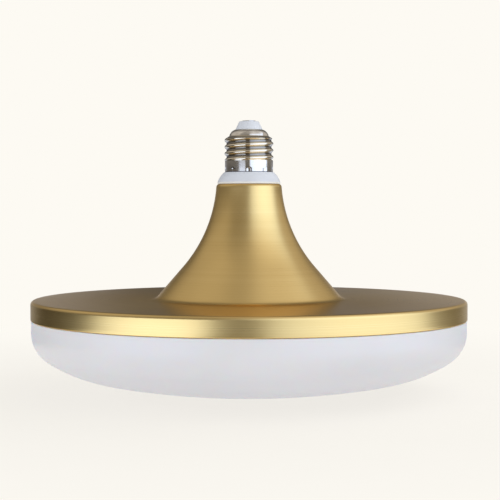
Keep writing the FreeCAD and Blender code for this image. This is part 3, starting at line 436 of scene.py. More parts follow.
def moulded_white(colours, at):
    """Moulded white plastic with a fine spark-eroded grain, and painted light at the collar's lip.
    """
    finish = Finish("white_plastic")
    z = finish.place()[2]
    grain = finish.noise(scale=3400.0, detail=3.0, roughness=0.6)
    flow = finish.noise(scale=160.0)
    deep = scaled(colours.white, 0.94)
    base = finish.between(deep, colours.white, (flow * 0.7 + grain * 0.3).rise(0.35, 0.65))
    # Painted light: a lighter, warmer colour on the collar's lip, for the light that the gold neck
    # throws on it.
    lip = z.window(at.neck_top - 0.2 * MM, at.lip_top + 0.1 * MM, 0.1 * MM)
    return finish.surface(
        Base_Color=finish.between(base, colours.lip, lip), Roughness=0.36 + grain * 0.12,
        Normal=finish.relief(grain, 0.01 * MM),
    )


def plain_metal(name, tint, rough, scale=900.0):
    """Metal of a fastener or a contact, with a little tarnish and fine scratches."""
    finish = Finish(name)
    tarnish = finish.noise(scale * 0.3, detail=3.0, roughness=0.6)
    grain = finish.noise(scale * 4, roughness=0.6)
    return finish.surface(
        Base_Color=finish.between(tint, scaled(tint, 0.72), tarnish.rise(0.4, 0.75)),
        Metallic=1.0, Roughness=rough + tarnish * 0.15,
        Normal=finish.relief(grain, 0.006 * MM),
    )


def plain_coat(name, tint, rough, scale=900.0):
    """Plastic, rubber, lacquer or ceramic of an inner part, mottled and finely grained."""
    finish = Finish(name)
    mottle = finish.noise(scale * 0.4, detail=3.0, roughness=0.55)
    grain = finish.noise(scale * 4, roughness=0.6)
    return finish.surface(
        Base_Color=finish.between(scaled(tint, 0.88), tint, mottle.rise(0.35, 0.7)),
        Roughness=rough + grain * 0.1, Normal=finish.relief(grain, 0.01 * MM),
    )


def wound_copper(name, tint):
    """Enamelled wire wound on a drum: close turns along its axis, with painted shade between the
    turns.
    """
    finish = Finish(name)
    y = finish.place()[1]
    turns = (y * (FULL_TURN / WIRE_PITCH)).sine() * 0.5 + 0.5
    mottle = finish.noise(scale=700.0)
    # Painted shade: the wire is darker between its turns; the mottle is its own tone.
    tone_and_turn_shade = (turns * 0.8 + mottle * 0.2).rise(0.1, 0.8)
    return finish.surface(
        Base_Color=finish.between(scaled(tint, 0.45), tint, tone_and_turn_shade), Metallic=1.0,
        Roughness=0.22 + mottle * 0.12, Normal=finish.relief(turns, 0.12 * MM),
    )


class Outline:
    """A half section drawn from point to point, then turned round the lamp's axis."""

    def __init__(self, radius, height):
        self.bm = bmesh.new()
        self.tip = self.bm.verts.new((radius, 0.0, height))

    def line(self, radius, height, parts=1):
        """Straight on to a point, in the given number of parts."""
        begin = self.tip.co.copy()
        end = Vector((radius, 0.0, height))
        for part in range(parts):
            grown = bmesh.ops.extrude_vert_indiv(self.bm, verts=[self.tip])
            self.tip = grown["verts"][0]
            self.tip.co = begin.lerp(end, (part + 1) / parts)
        return self

    def arc(self, radius, height, sweep, parts):
        """Round a centre; a sweep above 0 goes from outwards to upwards."""
        grown = bmesh.ops.spin(
            self.bm, geom=[self.tip], cent=(radius, 0.0, height), axis=(0.0, 1.0, 0.0),
            dvec=(0.0, 0.0, 0.0), angle=-sweep, steps=parts, use_duplicate=False,
        )
        self.tip = [item for item in grown["geom_last"] if isinstance(item, bmesh.types.BMVert)][0]
        return self

    def bulge(self, radius, height, rounding, parts):
        """On to a point, along an arc of the given radius that bulges away from the axis."""
        begin = self.tip.co.copy()
        end = Vector((radius, 0.0, height))
        chord = end - begin
        half = chord.length / 2
        inward = Vector((-chord.z, 0.0, chord.x)).normalized()
        centre = (begin + end) / 2 + inward * math.sqrt(rounding**2 - half**2)
        return self.arc(centre.x, centre.z, 2 * math.asin(half / rounding), parts)

    def turned(self, steps):
        """The mesh of a full turn, closed at the seam and at the poles, faces outwards."""
        bmesh.ops.remove_doubles(self.bm, verts=self.bm.verts, dist=1e-7)
        bmesh.ops.spin(
            self.bm, geom=self.bm.verts[:] + self.bm.edges[:], cent=(0.0, 0.0, 0.0),
            axis=(0.0, 0.0, 1.0), dvec=(0.0, 0.0, 0.0), angle=FULL_TURN, steps=steps,
            use_merge=True, use_duplicate=False,
        )
        bmesh.ops.remove_doubles(self.bm, verts=self.bm.verts, dist=1e-6)
        bmesh.ops.recalc_face_normals(self.bm, faces=self.bm.faces)
        return self.bm


def clamp(value):
    """The value, but from 0 to 1."""
    return min(max(value, 0.0), 1.0)


def spread(vert, share):
    """Moves a point out from the axis, or in, to a share of its radius."""
    vert.co.x *= share
    vert.co.y *= share


def soft_edges(bm):
    """Smooth faces, with the sharp edges between them kept crisp."""
    for face in bm.faces:
        face.smooth = True
    for edge in bm.edges:
        edge.smooth = len(edge.link_faces) != 2 or edge.calc_face_angle() < SHARP_EDGE


def add_object(bm, name, material):
    """Turns a bmesh into an object of the scene."""
    mesh = bpy.data.meshes.new(name)
    bm.to_mesh(mesh)
    bm.free()
    mesh.materials.append(material)
    made = bpy.data.objects.new(name, mesh)
    bpy.context.scene.collection.objects.link(made)
    return made


def add_piece(bm, name, material, node):
    """Turns a bmesh into a piece that rides on the lamp in place of its CAD node."""
    soft_edges(bm)
    piece = add_object(bm, name, material)
    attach(piece, BODY)
    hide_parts(node)


def levels(sizes):
    """Heights along the axis, and the disc's radius, that the CAD frame fixes."""
    housing_low, housing_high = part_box("housing")
    shell_low, shell_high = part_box("screw_shell")
    insulator_low, insulator_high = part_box("cap_insulator")
    contact_low, contact_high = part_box("cap_contact")
    sleeve_top = shell_low.z + sizes.sleeve_height
    return SimpleNamespace(
        rim_low=housing_low.z,
        disc_top=housing_low.z + sizes.disc_height,
        disc_radius=housing_high.x,
        spigot_top=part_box("diffuser")[1].z,
        neck_top=housing_high.z,
        lip_top=housing_high.z + sizes.collar_lip,
        tube_low=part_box("neck_collar")[0].z,
        shell_low=shell_low.z,
        sleeve_top=sleeve_top,
        thread_top=sleeve_top + sizes.thread_height,
        crown_top=shell_high.z,
        cone_low=insulator_low.z,
        cone_top=insulator_high.z,
        stem_low=contact_low.z,
        contact_top=contact_high.z,
    )


class SaucerOperator:
    """Common to every operator of the panel."""

    bl_options = {"REGISTER", "UNDO"}

    @classmethod
    def poll(cls, context):
        return hasattr(context.scene, "saucer_sizes")


class SAUCER_OT_housing(SaucerOperator, bpy.types.Operator):
    """Spins the gold housing: turned-in lip, neck, trumpet, disc and rim in one sheet"""

    bl_idname = "saucer.housing"
    bl_label = "Spun housing"

    def execute(self, context):
        s = context.scene.saucer_sizes
        at = levels(s)
        steep, lean = s.neck_angle, s.flare_angle
        neck_round_z = at.neck_top - s.neck_rounding
        flare_start_z = neck_round_z + s.neck_rounding * math.sin(steep)
        flare_r = s.neck_radius + s.flare_radius * math.cos(steep)
        flare_z = flare_start_z + s.flare_radius * math.sin(steep)
        neck_round_r = s.neck_radius - s.neck_rounding * math.cos(steep)
        foot_z = at.disc_top + s.foot_fillet
        slope_r = flare_r - s.flare_radius * math.cos(lean)
        slope_z = flare_z - s.flare_radius * math.sin(lean)
        touch_z = foot_z - s.foot_fillet * math.sin(lean)
        touch_r = slope_r + (slope_z - touch_z) * math.tan(lean)
        foot_r = touch_r + s.foot_fillet * math.cos(lean)
        disc_r = at.disc_radius
        round_r = disc_r - s.rim_fillet
        round_z = at.disc_top - s.rim_fillet
        under = at.disc_top - s.sheet
        hem = s.rim_hem

        # Outside, from the neck's opening down to the rim's lower edge.
        line = Outline(s.neck_bore, at.neck_top - s.sheet)
        line.line(s.neck_bore, at.neck_top - s.neck_chamfer)
        line.line(s.neck_bore + s.neck_chamfer, at.neck_top)
        line.line(neck_round_r, at.neck_top, parts=4)
        line.arc(neck_round_r, neck_round_z, steep - QUARTER, parts=10)
        line.arc(flare_r, flare_z, lean - steep, parts=36)
        line.line(touch_r, touch_z, parts=3)
        line.arc(foot_r, foot_z, QUARTER - lean, parts=8)
        line.line(round_r, at.disc_top, parts=14)
        line.arc(round_r, round_z, -QUARTER, parts=9)
        line.line(disc_r, at.rim_low + hem, parts=4)
        line.arc(disc_r - hem, at.rim_low + hem, -QUARTER, parts=4)

        # Inside, back up to the neck.
        line.line(disc_r - s.sheet + hem, at.rim_low)
        line.arc(disc_r - s.sheet + hem, at.rim_low + hem, -QUARTER, parts=3)
        line.line(disc_r - s.sheet, round_z, parts=2)
        line.arc(round_r, round_z, QUARTER, parts=5)
        line.line(foot_r, under, parts=4)
        line.arc(foot_r, foot_z, lean - QUARTER, parts=5)
        line.line(slope_r - s.sheet * math.cos(lean), slope_z - s.sheet * math.sin(lean), parts=2)
        line.arc(flare_r, flare_z, steep - lean, parts=20)
        line.arc(neck_round_r, neck_round_z, QUARTER - steep, parts=5)
        line.line(s.neck_bore, at.neck_top - s.sheet)
        gold = spun_gold(context.scene.saucer_colours)
        add_piece(line.turned(s.turn_steps), "spun_housing", gold, "housing")
        return {"FINISHED"}


class SAUCER_OT_dome(SaucerOperator, bpy.types.Operator):
    """Turns the opal dome with its skirt and the thinner edge inside the rim"""

    bl_idname = "saucer.dome"
    bl_label = "Opal dome"

    def execute(self, context):
        s = context.scene.saucer_sizes
        at = levels(s)
        first, second = s.dome_corner_angle, s.dome_shoulder_angle
        wall, edge = s.dome_wall, s.dome_edge
        outer = at.disc_radius - s.dome_inset
        corner_r = outer - s.dome_corner
        grow = s.dome_shoulder - s.dome_corner
        shoulder_r = corner_r - grow * math.cos(first)
        crown = shoulder_r / math.cos(second) + s.dome_shoulder
        shoulder_z = crown - (crown - s.dome_shoulder) * math.sin(second)
        corner_z = shoulder_z - grow * math.sin(first)
        edge_top = at.rim_low - s.rim_gap
        spigot_out = at.disc_radius - s.sheet - s.spigot_gap
        spigot_in = spigot_out - s.spigot_wall
        step = outer - wall - spigot_in

        # Outside, from the dome's lowest point up to its edge in the rim.
        line = Outline(0.0, 0.0)
        line.arc(0.0, crown, QUARTER - second, parts=30)
        line.arc(shoulder_r, shoulder_z, second - first, parts=14)
        line.arc(corner_r, corner_z, first, parts=20)
        line.line(outer, edge_top - edge, parts=4)
        line.arc(outer - edge, edge_top - edge, QUARTER, parts=5)
        line.line(spigot_out, edge_top)
        line.line(spigot_out, at.spigot_top)
        line.line(spigot_in, at.spigot_top)
        line.line(spigot_in, edge_top - wall)

        # Inside, back down to the axis.
        line.line(outer - wall, edge_top - wall - step)
        line.line(outer - wall, corner_z, parts=2)
        line.arc(corner_r, corner_z, -first, parts=10)
        line.arc(shoulder_r, shoulder_z, first - second, parts=7)
        line.arc(0.0, crown, second - QUARTER, parts=14)
        line.line(0.0, wall)
        opal = opal_plastic(context.scene.saucer_colours)
        add_piece(line.turned(s.turn_steps), "opal_dome", opal, "diffuser")
        return {"FINISHED"}


class SAUCER_OT_collar(SaucerOperator, bpy.types.Operator):
    """Turns the white collar: tube in the neck, lip, rounded flank and spigot in the cap"""

    bl_idname = "saucer.collar"
    bl_label = "Neck collar"

    def execute(self, context):
        s = context.scene.saucer_sizes
        at = levels(s)
        tube = s.neck_bore - s.collar_gap
        bore = tube - s.tube_wall
        lip = s.neck_radius - s.collar_inset
        sleeve = s.thread_crest - s.sleeve_inset
        inset = s.shell_wall + s.shell_gap
        spigot = s.thread_crest - s.thread_depth - inset
        flank = sleeve + s.collar_step
        flank_top = at.shell_low - s.collar_chamfer
        sleeve_end = at.sleeve_top - s.shell_wall - 2 * s.shell_gap
        spigot_top = at.sleeve_top + s.cap_spigot
        rounding = s.lip_rounding
        line = Outline(bore, at.tube_low)
        line.line(tube, at.tube_low)
        line.line(tube, at.neck_top, parts=4)
        line.line(lip - rounding, at.neck_top)
        line.arc(lip - rounding, at.neck_top + rounding, QUARTER, parts=4)
        line.line(lip, at.lip_top - s.lip_edge)
        line.line(lip, at.lip_top)
        line.bulge(flank, flank_top, s.collar_bulge, parts=16)
        line.line(flank - s.collar_chamfer, at.shell_low)
        line.line(sleeve - inset, at.shell_low)
        line.line(sleeve - inset, sleeve_end)
        line.line(spigot, sleeve_end + sleeve - inset - spigot)
        line.line(spigot, spigot_top)
        line.line(bore, spigot_top)
        line.line(bore, at.tube_low, parts=4)
        white = moulded_white(context.scene.saucer_colours, at)
        bm = line.turned(s.collar_steps)
        add_piece(bm, "white_collar", white, "neck_collar")
        return {"FINISHED"}


class SAUCER_OT_screw_shell(SaucerOperator, bpy.types.Operator):
    """Turns the screw shell, then rolls its helical thread and presses its dents"""

    bl_idname = "saucer.screw_shell"
    bl_label = "Screw shell"

    # The thread's crests fall to the shoulder over a run that starts below the top of the
    # threaded length and ends above it, by these shares of the fall.
    RUN_BELOW, RUN_ABOVE = 0.5, 0.125

    # How wide the soft edges of a dent are, as shares of its width and height.
    SIDE_FADE, TOP_FADE = 0.24, 0.30

    def execute(self, context):
        s = context.scene.saucer_sizes
        at = levels(s)
        sleeve = s.thread_crest - s.sleeve_inset
        root = s.thread_crest - s.thread_depth
        shoulder = root - s.shoulder_inset
        root_end = at.thread_top - (root - shoulder) * self.RUN_BELOW
        shoulder_start = at.thread_top + (s.thread_crest - shoulder) * self.RUN_ABOVE
        line = Outline(sleeve, at.shell_low)
        line.line(sleeve, at.sleeve_top, parts=22)
        line.line(root, at.sleeve_top + s.shell_wall, parts=3)
        line.line(root, root_end, parts=62)
        line.line(shoulder, shoulder_start, parts=8)
        line.bulge(s.crown_radius, at.crown_top, s.shoulder_bulge, parts=12)
        line.line(s.crown_radius - s.crown_land, at.crown_top, parts=3)
        bm = line.turned(s.shell_steps)
        self.roll_thread(bm, s, at)
        self.press_dents(bm, s, at.shell_low)
        bm.normal_update()
        bmesh.ops.solidify(bm, geom=bm.faces[:], thickness=s.shell_wall)
        bmesh.ops.recalc_face_normals(bm, faces=bm.faces)
        nickel = nickel_plate(context.scene.saucer_colours, s, at)
        add_piece(bm, "threaded_shell", nickel, "screw_shell")
        return {"FINISHED"}

    def roll_thread(self, bm, s, at):
        """Moves points out to the thread's arcs, which run out at both ends."""
        arc = s.thread_rounding
        half = s.thread_pitch / 2
        crest_r = s.thread_crest - arc
        root_r = crest_r + math.sqrt(4 * arc * arc - half * half)
        start = at.sleeve_top - half
        fall = s.thread_depth + s.shoulder_inset
        fall_start = at.thread_top - fall * self.RUN_BELOW
        fall_end = at.thread_top + fall * self.RUN_ABOVE
        for vert in bm.verts:
            x, y, z = vert.co
            if not at.sleeve_top < z < fall_end:
                continue
            plain = math.hypot(x, y)
            turn = math.atan2(y, x) / FULL_TURN
            phase = (z - start) / s.thread_pitch - turn
            off = abs(phase - round(phase)) * s.thread_pitch
            if off <= half / 2:
                thread = crest_r + math.sqrt(arc * arc - off * off)
            else:
                thread = root_r - math.sqrt(arc * arc - (half - off) ** 2)
            limit = s.thread_crest
            if z > fall_start:
                limit -= fall * (z - fall_start) / (fall_end - fall_start)
            else:
                limit -= s.sleeve_inset * (1 - clamp((z - at.sleeve_top) / s.shell_wall))
            spread(vert, max(plain, min(thread, limit)) / plain)

    def press_dents(self, bm, s, low):
        """Presses the dents that lock the shell to the collar into its foot."""
        for vert in bm.verts:
            x, y, z = vert.co
            radius = math.hypot(x, y)
            turn = (math.atan2(y, x) + QUARTER) / FULL_TURN * s.dent_count
            across = abs(turn - round(turn)) / s.dent_count * FULL_TURN * radius
            side = clamp(0.5 + (s.dent_width / 2 - across) / (s.dent_width * self.SIDE_FADE))
            top = clamp(0.5 + (s.dent_height - (z - low)) / (s.dent_height * self.TOP_FADE))
            depth = s.dent_depth * side * side * (3 - 2 * side) * top
            spread(vert, (radius - depth) / radius)


class SAUCER_OT_cap_top(SaucerOperator, bpy.types.Operator):
    """Turns the conical insulator and the riveted centre contact"""

    bl_idname = "saucer.cap_top"
    bl_label = "Insulator and contact"

    def execute(self, context):
        s = context.scene.saucer_sizes
        at = levels(s)
        colours = context.scene.saucer_colours
        crown, top = at.crown_top, at.cone_top
        foot = s.crown_radius - s.cone_inset
        head = foot - s.cone_lean
        flank = math.hypot(s.cone_lean, top - crown)
        along, up = s.cone_lean / flank, (top - crown) / flank
        touch = s.cone_rounding * (1 - along) / up
        waist = s.crown_radius - s.crown_land - s.shell_gap
        flange = s.crown_radius - s.shell_wall / 2 - s.shell_gap
        flange_top = crown - s.shell_wall - s.shell_gap
        contact = head - s.contact_inset
        seat = contact + s.seat_gap
        seat_z = at.contact_top - 2 * s.contact_height
        hole = s.stem_radius + s.seat_gap
        line = Outline(hole, at.cone_low)
        line.line(flange, at.cone_low)
        line.line(flange, flange_top)
        line.line(waist, flange_top)
        line.line(waist, crown)
        line.line(foot - s.cone_chamfer, crown)
        line.line(foot, crown + s.cone_chamfer)
        line.line(head + touch * along, top - touch * up, parts=6)
        line.arc(head - touch, top - s.cone_rounding, QUARTER - math.atan2(along, up), parts=8)
        line.line(seat, top, parts=2)
        line.line(seat, seat_z)
        line.line(hole, seat_z)
        line.line(hole, at.cone_low)
        white = moulded_white(colours, at)
        bm = line.turned(s.cone_steps)
        add_piece(bm, "cap_cone", white, "cap_insulator")

        half = s.contact_height / 2
        line = Outline(0.0, at.stem_low)
        line.line(s.stem_radius, at.stem_low)
        line.line(s.stem_radius, seat_z)
        line.line(contact, seat_z)
        line.line(contact, at.contact_top - half, parts=2)
        line.arc(contact - half, at.contact_top - half, QUARTER, parts=5)
        line.line(0.0, at.contact_top, parts=4)
        tin = plain_metal("tinned_contact", colours.tin, 0.22)
        bm = line.turned(s.contact_steps)
        add_piece(bm, "centre_contact", tin, "cap_contact")
        return {"FINISHED"}


class SAUCER_OT_inner_parts(SaucerOperator, bpy.types.Operator):
    """Gives the parts inside the lamp their finishes"""

    bl_idname = "saucer.inner_parts"
    bl_label = "Inner parts"

    def execute(self, context):
        zinc = plain_metal("zinc_steel", (0.62, 0.64, 0.66), 0.28)
        bare = plain_metal("bare_aluminium", (0.74, 0.75, 0.76), 0.30, 500.0)
        can = plain_coat("can_black", (0.02, 0.022, 0.028), 0.32)
        finishes = {
            "rim_sealant": plain_coat("white_silicone", (0.80, 0.80, 0.78), 0.45),
            "collar_screws": zinc,
            "board_nuts": zinc,
            "board_studs": bare,
            "thermal_pad": plain_coat("grey_silicone", (0.28, 0.29, 0.31), 0.62),
            "led_board": plain_coat("board_white", (0.84, 0.84, 0.82), 0.34, 300.0),
            "leds": plain_coat("led_phosphor", (0.86, 0.66, 0.12), 0.42, 2000.0),
            "driver_board": plain_coat("board_green", (0.03, 0.22, 0.09), 0.30, 500.0),
            "driver_sleeve": plain_coat("clear_film", (0.70, 0.72, 0.70), 0.25, 200.0),
            "fuse_resistor": plain_coat("component_blue", (0.05, 0.20, 0.50), 0.35),
            "varistor": plain_coat("varistor_blue", (0.04, 0.16, 0.42), 0.40),
            "film_capacitor": plain_coat("component_red", (0.48, 0.06, 0.04), 0.36),
            "output_capacitor": can,
            "bulk_capacitor": can,
            "inductor_core": plain_coat("ferrite", (0.05, 0.05, 0.055), 0.50),
            "inductor_winding": wound_copper("copper_wire", (0.72, 0.33, 0.16)),
            "bridge_rectifier": plain_coat("component_black", (0.03, 0.03, 0.03), 0.46),
            "driver_chip": plain_coat("chip_black", (0.025, 0.025, 0.027), 0.50),
            "chip_resistors": plain_coat("resistor_black", (0.035, 0.035, 0.04), 0.34),
            "live_wire": plain_coat("wire_brown", (0.16, 0.06, 0.025), 0.38),
            "neutral_wire": plain_coat("wire_blue", (0.02, 0.10, 0.42), 0.38),
            "positive_lead": plain_coat("wire_red", (0.50, 0.02, 0.02), 0.38),
            "negative_lead": plain_coat("wire_black", (0.02, 0.02, 0.02), 0.38),
            "lead_terminal": plain_coat("terminal_white", (0.78, 0.78, 0.76), 0.40),
        }
        for node, material in finishes.items():
            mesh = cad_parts[node].data
            if mesh.materials:
                mesh.materials[0] = material
            else:
                mesh.materials.append(material)
        return {"FINISHED"}


def directions(finish, centre):
    """Where a point of the tent is, seen from a height on the lamp's axis.

    Gives its turn in degrees from the camera to the right, the sine of its height above
    level, and how far to the right and how far behind the lamp it is, from -1 to 1.
    """
    x, y, z = finish.place()
    around = x.math("ARCTAN2", x, -y) * math.degrees(1)
    above = z - centre
    far = (x * x + y * y + above * above).root()
    return around, above / far, x / far, y / far


class TentLight:
    """What the metal shows: two soft panels, the camera's gap, grey and dark cloth.

    Turns are in degrees from the camera, above 0 to the right, and heights are sines above
    level. A pair says where an edge starts and ends, and a third number how soft both edges
    of a window are.
    """

    # Where the low band ends.
    LOW_TOP = (0.05, 0.16)

    # The right panel in that band and above it, its lean near the roof, and its shades.
    RIGHT_LOW = (6.5, 91.0, 5.0)
    RIGHT_HIGH_NEAR = (-1.0, 7.0)
    RIGHT_HIGH_FAR = (86.0, 106.0)
    RIGHT_HIGH_GAIN = 1.12
    RIGHT_LEAN = (0.5, 0.8)
    RIGHT_LEAN_TURN = 36.0
    RIGHT_EDGE = (2.0, 45.0)
    RIGHT_SIDE = (50.0, 100.0)
    RIGHT_DROP = (0.35, 1.0)

    # The left panel, which is in the low band only, and the gap between the two.
    LEFT_FAR = (-80.0, -66.0)
    LEFT_NEAR = (-20.0, -14.0)
    LEFT_LEAN = (0.0, 0.12)
    LEFT_LEAN_TURN = 28.0
    LEFT_EDGE = (-75.0, -48.0)
    GAP = (-20.0, 8.0, 3.0)

    # Cloth in the low band: on the right, at the side, and behind the lamp.
    RIGHT_HALF = (0.0, 1.0)
    SIDE = (0.0, 90.0)
    BACK = (120.0, 138.0)
    BACK_SIDE = (143.0, 155.0)
    BACK_SIDE_SHARE = 0.60
    BACK_MIDDLE = (155.0, 170.0)
    BACK_RIGHT_LOSS = 0.35

    # Cloth above that band: paler on both sides and at the roof, darker behind the lamp,
    # straight above it, and just above the band.
    CLOTH_LEFT = (-136.0, -60.0, 14.0)
    CLOTH_LEFT_UP = (0.25, 0.5)
    CLOTH_RIGHT = (84.0, 150.0, 14.0)
    CLOTH_RIGHT_UP = (0.08, 0.25)
    ROOF = (0.65, 0.90)
    BEHIND = (128.0, 150.0)
    BEHIND_UP = (0.3, 0.5)
    BEHIND_LOSS = 0.55
    ABOVE_ASIDE = (0.36, 0.60)
    ABOVE_AWAY = (-0.15, 0.10)
    ABOVE_LOSS = 0.5
    DUSK = (0.12, 0.26)
    DUSK_LOSS = 0.3
    DUSK_BACK_LOSS = 0.2

    # Where the light has the panels' cool colour.
    COOL = (0.3, 0.9)
    COOL_UP = (0.5, 0.85)
    COOL_UP_LOSS = 0.8
    COOL_BACK = 0.7

    def __init__(self, finish, studio):
        self.studio = studio
        self.around, self.up, self.right, self.away = directions(finish, studio.tent_centre)
        self.aside = self.around.size()
        self.low = 1 - self.up.rise(*self.LOW_TOP)
        self.high = 1 - self.low
        self.back = self.aside.rise(*self.BACK)

    def right_panel(self):
        """A tall panel, whose far edge leans away from the camera near the roof."""
        lean = self.up.rise(*self.RIGHT_LEAN) * self.RIGHT_LEAN_TURN
        high = self.around.rise(*self.RIGHT_HIGH_NEAR)
        high = high - (self.around - lean).rise(*self.RIGHT_HIGH_FAR)
        panel = self.around.window(*self.RIGHT_LOW) * self.low
        panel = panel + high * self.high * self.RIGHT_HIGH_GAIN
        shade = (1 - self.around.rise(*self.RIGHT_EDGE)) * self.studio.right_edge
        shade = shade + self.around.rise(*self.RIGHT_SIDE) * self.studio.right_side
        drop = self.up.rise(*self.RIGHT_DROP) * self.studio.right_drop
        return panel * (self.studio.right_panel - shade) * (1 - drop)

    def left_panel(self):
        """A low panel, whose far edge leans towards the camera."""
        lean = self.up.rise(*self.LEFT_LEAN) * self.LEFT_LEAN_TURN
        panel = (self.around - lean).rise(*self.LEFT_FAR)
        panel = panel * (1 - self.around.rise(*self.LEFT_NEAR)) * self.low
        loss = (1 - self.around.rise(*self.LEFT_EDGE)) * self.studio.left_edge
        return panel * self.studio.left_panel * (1 - loss)

    def gap(self):
        """Dark, where the camera looks in between the panels."""
        return self.around.window(*self.GAP) * self.low * self.studio.gap

    def low_cloth(self):
        """Dark at the sides; the back is lighter, most of all on both sides of its middle."""
        onward = self.around.rise(*self.RIGHT_HALF)
        edges = self.aside.rise(*self.BACK_SIDE) * self.BACK_SIDE_SHARE
        edges = (edges + (1 - self.BACK_SIDE_SHARE)) * (1 - self.aside.rise(*self.BACK_MIDDLE))
        edges = edges * (1 - onward * self.BACK_RIGHT_LOSS) * self.studio.back_edge
        back = edges + onward * self.studio.back_right + self.studio.back
        side = self.around.rise(*self.SIDE) * self.studio.side_right + self.studio.side
        return side.most(self.back * back) * self.low

    def high_cloth(self):
        """Grey, lighter far out on both sides and on the roof, darker behind the lamp."""
        up = self.up
        left = self.around.window(*self.CLOTH_LEFT) * up.rise(*self.CLOTH_LEFT_UP)
        right = self.around.window(*self.CLOTH_RIGHT) * up.rise(*self.CLOTH_RIGHT_UP)
        pale = left * self.studio.cloth_left + right * self.studio.cloth_right
        roof = up.rise(*self.ROOF) * self.studio.cloth_top
        behind = self.aside.rise(*self.BEHIND) * (1 - up.rise(*self.BEHIND_UP))
        above = 1 - self.right.size().rise(*self.ABOVE_ASIDE)
        above = above * self.away.rise(*self.ABOVE_AWAY) * self.ABOVE_LOSS
        dark = (behind * self.BEHIND_LOSS).most(above)
        dusk = 1 - up.rise(*self.DUSK)
        dusk = dusk * (self.back * self.DUSK_BACK_LOSS + self.DUSK_LOSS)
        grey = (1 - dark) * (1 - dusk) * self.studio.cloth
        return (pale * (1 - above) + roof + grey) * self.high

    def coolness(self, panels):
        """How much of the light has the panels' colour, and not the cloth's."""
        lit = panels.rise(*self.COOL) * (1 - self.up.rise(*self.COOL_UP) * self.COOL_UP_LOSS)
        return lit.most(self.back * self.low * self.COOL_BACK)


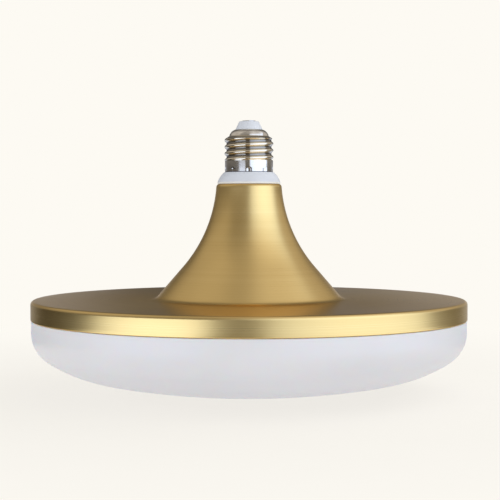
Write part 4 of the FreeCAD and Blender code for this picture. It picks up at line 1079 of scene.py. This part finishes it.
class SAUCER_OT_stage(SaucerOperator, bpy.types.Operator):
    """Sets the floor, the light tent, the backdrop and the camera"""

    bl_idname = "saucer.stage"
    bl_label = "Stage"

    # Where the floor stops showing the lamp's shadow, and how dark its cloth is.
    SHADOW_END = (0.12, 0.42)
    CLOTH_SHARES = (0.82, 0.86)

    # Heights and sides over which the fill changes, as in the tent's light.
    FILL_UP = (0.12, 0.45)
    FILL_LOW = (-0.2, 0.1)
    FILL_END = (0.5, 1.0)
    FILL_END_LOSS = 0.5

    def execute(self, context):
        scene = context.scene
        colours, studio = scene.saucer_colours, scene.saucer_studio
        self.floor(colours, studio)
        self.mirror_tent(colours, studio)
        self.fill_tent(studio)
        self.backdrop(scene, colours, studio)
        self.camera(scene, studio)
        scene.view_settings.view_transform = "Standard"
        return {"FINISHED"}

    def seen(self, finish):
        """1 for what the camera sees itself, in metal or through glass."""
        path = finish.node("ShaderNodeLightPath", output="Is Camera Ray")
        outputs = path.socket.node.outputs
        glossy = Field(finish, outputs["Is Glossy Ray"])
        through = Field(finish, outputs["Is Transmission Ray"])
        return path.most(glossy).most(through)

    def add(self, bm, name, material):
        """An object of the stage, which isn't part of the lamp."""
        item = add_object(bm, name, material)
        return item

    def floor(self, colours, studio):
        """A pale floor that keeps the lamp's shadow near it and meets the backdrop unseen."""
        finish = Finish("pale_floor")
        x, y, _ = finish.place()
        near = 1 - (x * x + y * y).root().rise(*self.SHADOW_END)
        mottle = finish.noise(scale=30.0, detail=3.0)
        dim, full = (scaled(colours.backdrop, share) for share in self.CLOTH_SHARES)
        tint = finish.between(dim, full, mottle)
        cloth = finish.node("ShaderNodeBsdfDiffuse", values={"Color": tint})
        seen = self.seen(finish)
        light = finish.between(colours.floor_light, colours.backdrop, seen)
        mask = (seen * (1 - near * studio.shadow)).most(studio.floor_glow)
        values = {0: mask, 1: cloth, 2: finish.emission(Color=light)}
        finish.show(finish.node("ShaderNodeMixShader", values=values))
        bm = bmesh.new()
        bmesh.ops.create_circle(bm, cap_ends=True, segments=STAGE_STEPS, radius=FLOOR_RADIUS)
        self.add(bm, "floor", finish.owner)

    def mirror_tent(self, colours, studio):
        """The tent as metal shows it, with a ring of its cloth on the floor."""
        finish = Finish("mirror_light")
        tent = TentLight(finish, studio)
        panels = tent.right_panel().most(tent.left_panel())
        strength = panels.most(tent.gap()).most(tent.low_cloth() + tent.high_cloth())
        panel = scaled(colours.panel, 1 / colours.panel[1])
        tint = finish.between(colours.cloth, panel, tent.coolness(panels))
        glow = finish.show(finish.emission(Color=tint, Strength=strength))
        self.wall(glow, studio.tent_radius, studio, "mirror_tent").visible_diffuse = False
        line = Outline(studio.skirt_radius, studio.tent_foot)
        line.line(studio.tent_radius, studio.tent_foot, parts=4)
        skirt = self.hang(line, glow, "mirror_skirt")
        skirt.visible_diffuse = False
        skirt.visible_shadow = False

    def fill_tent(self, studio):
        """Soft light on the plastics and the floor: more from low down, from the lower left
        and from the upper right."""
        finish = Finish("fill_light")
        _, up, right, _ = directions(finish, studio.tent_centre)
        raised = up.rise(*self.FILL_UP)
        end = (-right).rise(*self.FILL_END) * (1 - raised) * self.FILL_END_LOSS
        slope = (raised * studio.fill_turn - studio.fill_left) * right * (1 - end)
        bounce = (1 - up.rise(*self.FILL_LOW)) * studio.fill_low
        glow = finish.show(finish.emission(Strength=(slope + bounce + 1) * studio.fill))
        tent = self.wall(glow, studio.tent_radius - studio.fill_inset, studio, "fill_tent")
        tent.visible_glossy = False
        tent.visible_shadow = False

    def wall(self, material, radius, studio, name):
        """The wall and the roof of a round tent."""
        rounding = studio.tent_rounding
        line = Outline(radius, studio.tent_foot)
        line.line(radius, studio.tent_wall, parts=6)
        line.arc(radius - rounding, studio.tent_wall, QUARTER, parts=8)
        line.line(0.0, studio.tent_wall + rounding, parts=3)
        return self.hang(line, material, name)

    def hang(self, line, material, name):
        """A glowing sheet of the tent, which the camera doesn't see."""
        sheet = self.add(line.turned(STAGE_STEPS), name, material)
        sheet.visible_camera = False
        sheet.visible_transmission = False
        return sheet

    def backdrop(self, scene, colours, studio):
        """A world that is pale where it is seen, and gives the lamp less light than that."""
        world = scene.world or bpy.data.worlds.new("studio")
        scene.world = world
        finish = Finish("studio", world)
        strength = studio.world + self.seen(finish) * (1 - studio.world)
        values = {"Color": colours.backdrop, "Strength": strength}
        finish.show(finish.node("ShaderNodeBackground", values=values), "ShaderNodeOutputWorld")

    def camera(self, scene, studio):
        camera = bpy.data.cameras.new("camera")
        camera.lens = studio.lens
        camera.sensor_width = FRAME_WIDTH_MM
        camera.clip_start = NEAREST_SEEN
        eye = bpy.data.objects.new("camera", camera)
        eye.location = (0.0, -studio.eye_distance, studio.eye_height)
        eye.rotation_euler = (QUARTER - studio.pitch, 0.0, -studio.yaw)
        scene.collection.objects.link(eye)
        scene.camera = eye


OPERATORS = (
    SAUCER_OT_housing, SAUCER_OT_dome, SAUCER_OT_collar, SAUCER_OT_screw_shell,
    SAUCER_OT_cap_top, SAUCER_OT_inner_parts, SAUCER_OT_stage,
)


class SAUCER_PT_panel(bpy.types.Panel):
    """Lists the lamp's pieces, the sizes and colours, and the stage"""

    bl_idname = "SAUCER_PT_panel"
    bl_label = "Saucer lamp"
    bl_space_type = "VIEW_3D"
    bl_region_type = "UI"
    bl_category = "Saucer lamp"

    def draw(self, context):
        layout = self.layout
        for operator in OPERATORS:
            layout.operator(operator.bl_idname)
        for group in (context.scene.saucer_colours, context.scene.saucer_studio,
                      context.scene.saucer_sizes):
            box = layout.box()
            for name in group.bl_rna.properties.keys():
                if name not in {"rna_type", "name"}:
                    box.prop(group, name)


CLASSES = (LampSizes, LampColours, StudioLevels, *OPERATORS, SAUCER_PT_panel)


def register():
    for item in CLASSES:
        bpy.utils.register_class(item)
    bpy.types.Scene.saucer_sizes = PointerProperty(type=LampSizes)
    bpy.types.Scene.saucer_colours = PointerProperty(type=LampColours)
    bpy.types.Scene.saucer_studio = PointerProperty(type=StudioLevels)


def unregister():
    del bpy.types.Scene.saucer_sizes
    del bpy.types.Scene.saucer_colours
    del bpy.types.Scene.saucer_studio
    for item in reversed(CLASSES):
        bpy.utils.unregister_class(item)


def main():
    """Builds every piece and the stage."""
    register()
    bpy.ops.saucer.stage()
    bpy.ops.saucer.housing()
    bpy.ops.saucer.dome()
    bpy.ops.saucer.collar()
    bpy.ops.saucer.screw_shell()
    bpy.ops.saucer.cap_top()
    bpy.ops.saucer.inner_parts()
    bpy.context.view_layer.update()


if __name__ == "__main__":
    main()
